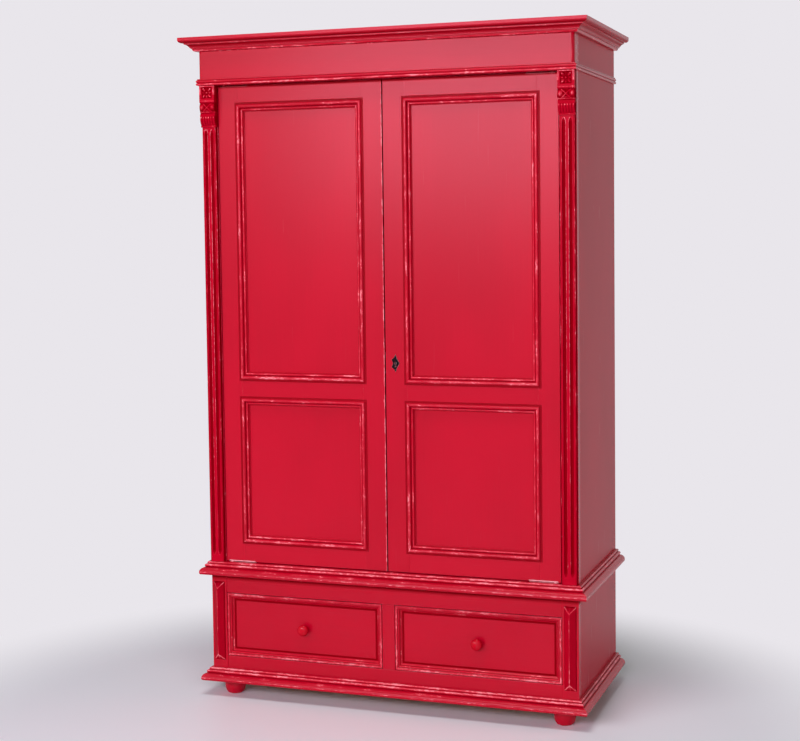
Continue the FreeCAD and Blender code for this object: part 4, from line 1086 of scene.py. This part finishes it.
def dressBareBoards():
    pine = {grain: bareWood("pine" + grain, "pine", grain) for grain in "XYZ"}
    boards = {
        "X": ("base_board", "hat_shelf", "drawer_left_back", "drawer_right_back", "drawer_left_bottom",
              "drawer_right_bottom"),
        "Y": ("drawer_divider", "drawer_runners", "shelf_battens", "drawer_left_sides",
              "drawer_right_sides"),
        "Z": ("back_boards",),
    }
    for grain, names in boards.items():
        for name in names:
            dress(name, pine[grain])
    beech = bareWood("beech", "beech", "X")
    dress("clothes_rail", beech, width=dressing["fine"])
    dress("rail_cups", beech, width=dressing["fine"])


def dressIronwork():
    steel, bright = metal("steel", "steel"), metal("brightSteel", "steel", True)
    for name in ("lock_case", "lock_bolt", "strike_plate", "bolt_cases", "top_bolt", "bottom_bolt"):
        dress(name, steel, bright, dressing["metal"])
    leaf, rubbedLeaf = metal("paintedLeaf", "leaf"), metal("rubbedLeaf", "leaf", True)
    for name in ("hinge_frame_leaves", "door_left_hinge_leaves", "door_right_hinge_leaves"):
        dress(name, leaf, rubbedLeaf, dressing["leaf"])
    # the plate's bevelled edges are pale pink
    dress("escutcheon", metal("blackIron", "iron"), metal("paleEdgedIron", "iron", True), dressing["plate"])


# floor and surroundings

room = dict(
    back=(0.815, 0.790, 0.832, 1),
    floor=(0.865, 0.925, 0.930, 1),
    middle=(0, -0.45, 0), fade=(1.05, 1.75), radius=12, roughness=0.5, gloss=0.3,
    fill=(0.86, 0.84, 0.88, 1), fillStrength=0.12,
)


def makeFloor():
    mesh = bpy.data.meshes.new("floor")
    work = bmesh.new()
    bmesh.ops.create_circle(work, cap_ends=True, segments=96, radius=room["radius"])
    work.to_mesh(mesh)
    work.free()
    floor = newObject("floor", mesh)
    finish = Finish("paleFloor")
    away = finish.add("VectorMath", {"operation": "DISTANCE"},
                      {0: finish.places(), 1: room["middle"]}, "Value")
    fade = finish.step(away, *room["fade"]) * finish.seenRays()
    ground = finish.add("BsdfPrincipled", None,
                        {"Base Color": room["floor"], "Roughness": room["roughness"],
                         "Specular IOR Level": room["gloss"]})
    glow = finish.add("Emission", None, {"Color": room["back"], "Strength": 1})
    both = finish.add("MixShader", None, {0: fade, 1: ground, 2: glow})
    finish.add("OutputMaterial", None, {"Surface": both})
    mesh.materials.append(finish.owner)


def makeWorld():
    world = bpy.data.worlds.new("paleRoom")
    bpy.context.scene.world = world
    finish = Finish(world)
    back = finish.add("Background", None, {"Color": room["back"], "Strength": 1})
    fill = finish.add("Background", None,
                      {"Color": room["fill"], "Strength": room["fillStrength"]})
    both = finish.add("MixShader", None, {0: finish.seenRays(), 1: fill, 2: back})
    finish.add("OutputWorld", None, {"Surface": both})


# making it

bpy.context.scene.view_settings.view_transform = "Standard"
makeCamera()
makeLights()
makeFloor()
makeWorld()
print("camera, lights, floor and surroundings made")

mouldedPaint = carvedPaint("mouldedPaint")
stripPaint = carvedPaint("stripPaint", gloss=paintLook["sideGloss"])
makeCaseMouldings(mouldedPaint)
makeDoorMouldings(mouldedPaint)
makeDrawerMouldings(mouldedPaint)
print("mouldings made")
makeFeet(mouldedPaint)
makeKnobs(carvedPaint("knobPaint", **knob["paint"]))
makeFlutedStrips(stripPaint)
makeHippedStrips(stripPaint)
makeCorbels(stripPaint)
print("turned and carved pieces made")
dressRedBoards()
dressBareBoards()
dressIronwork()
print("boards and ironwork finished")
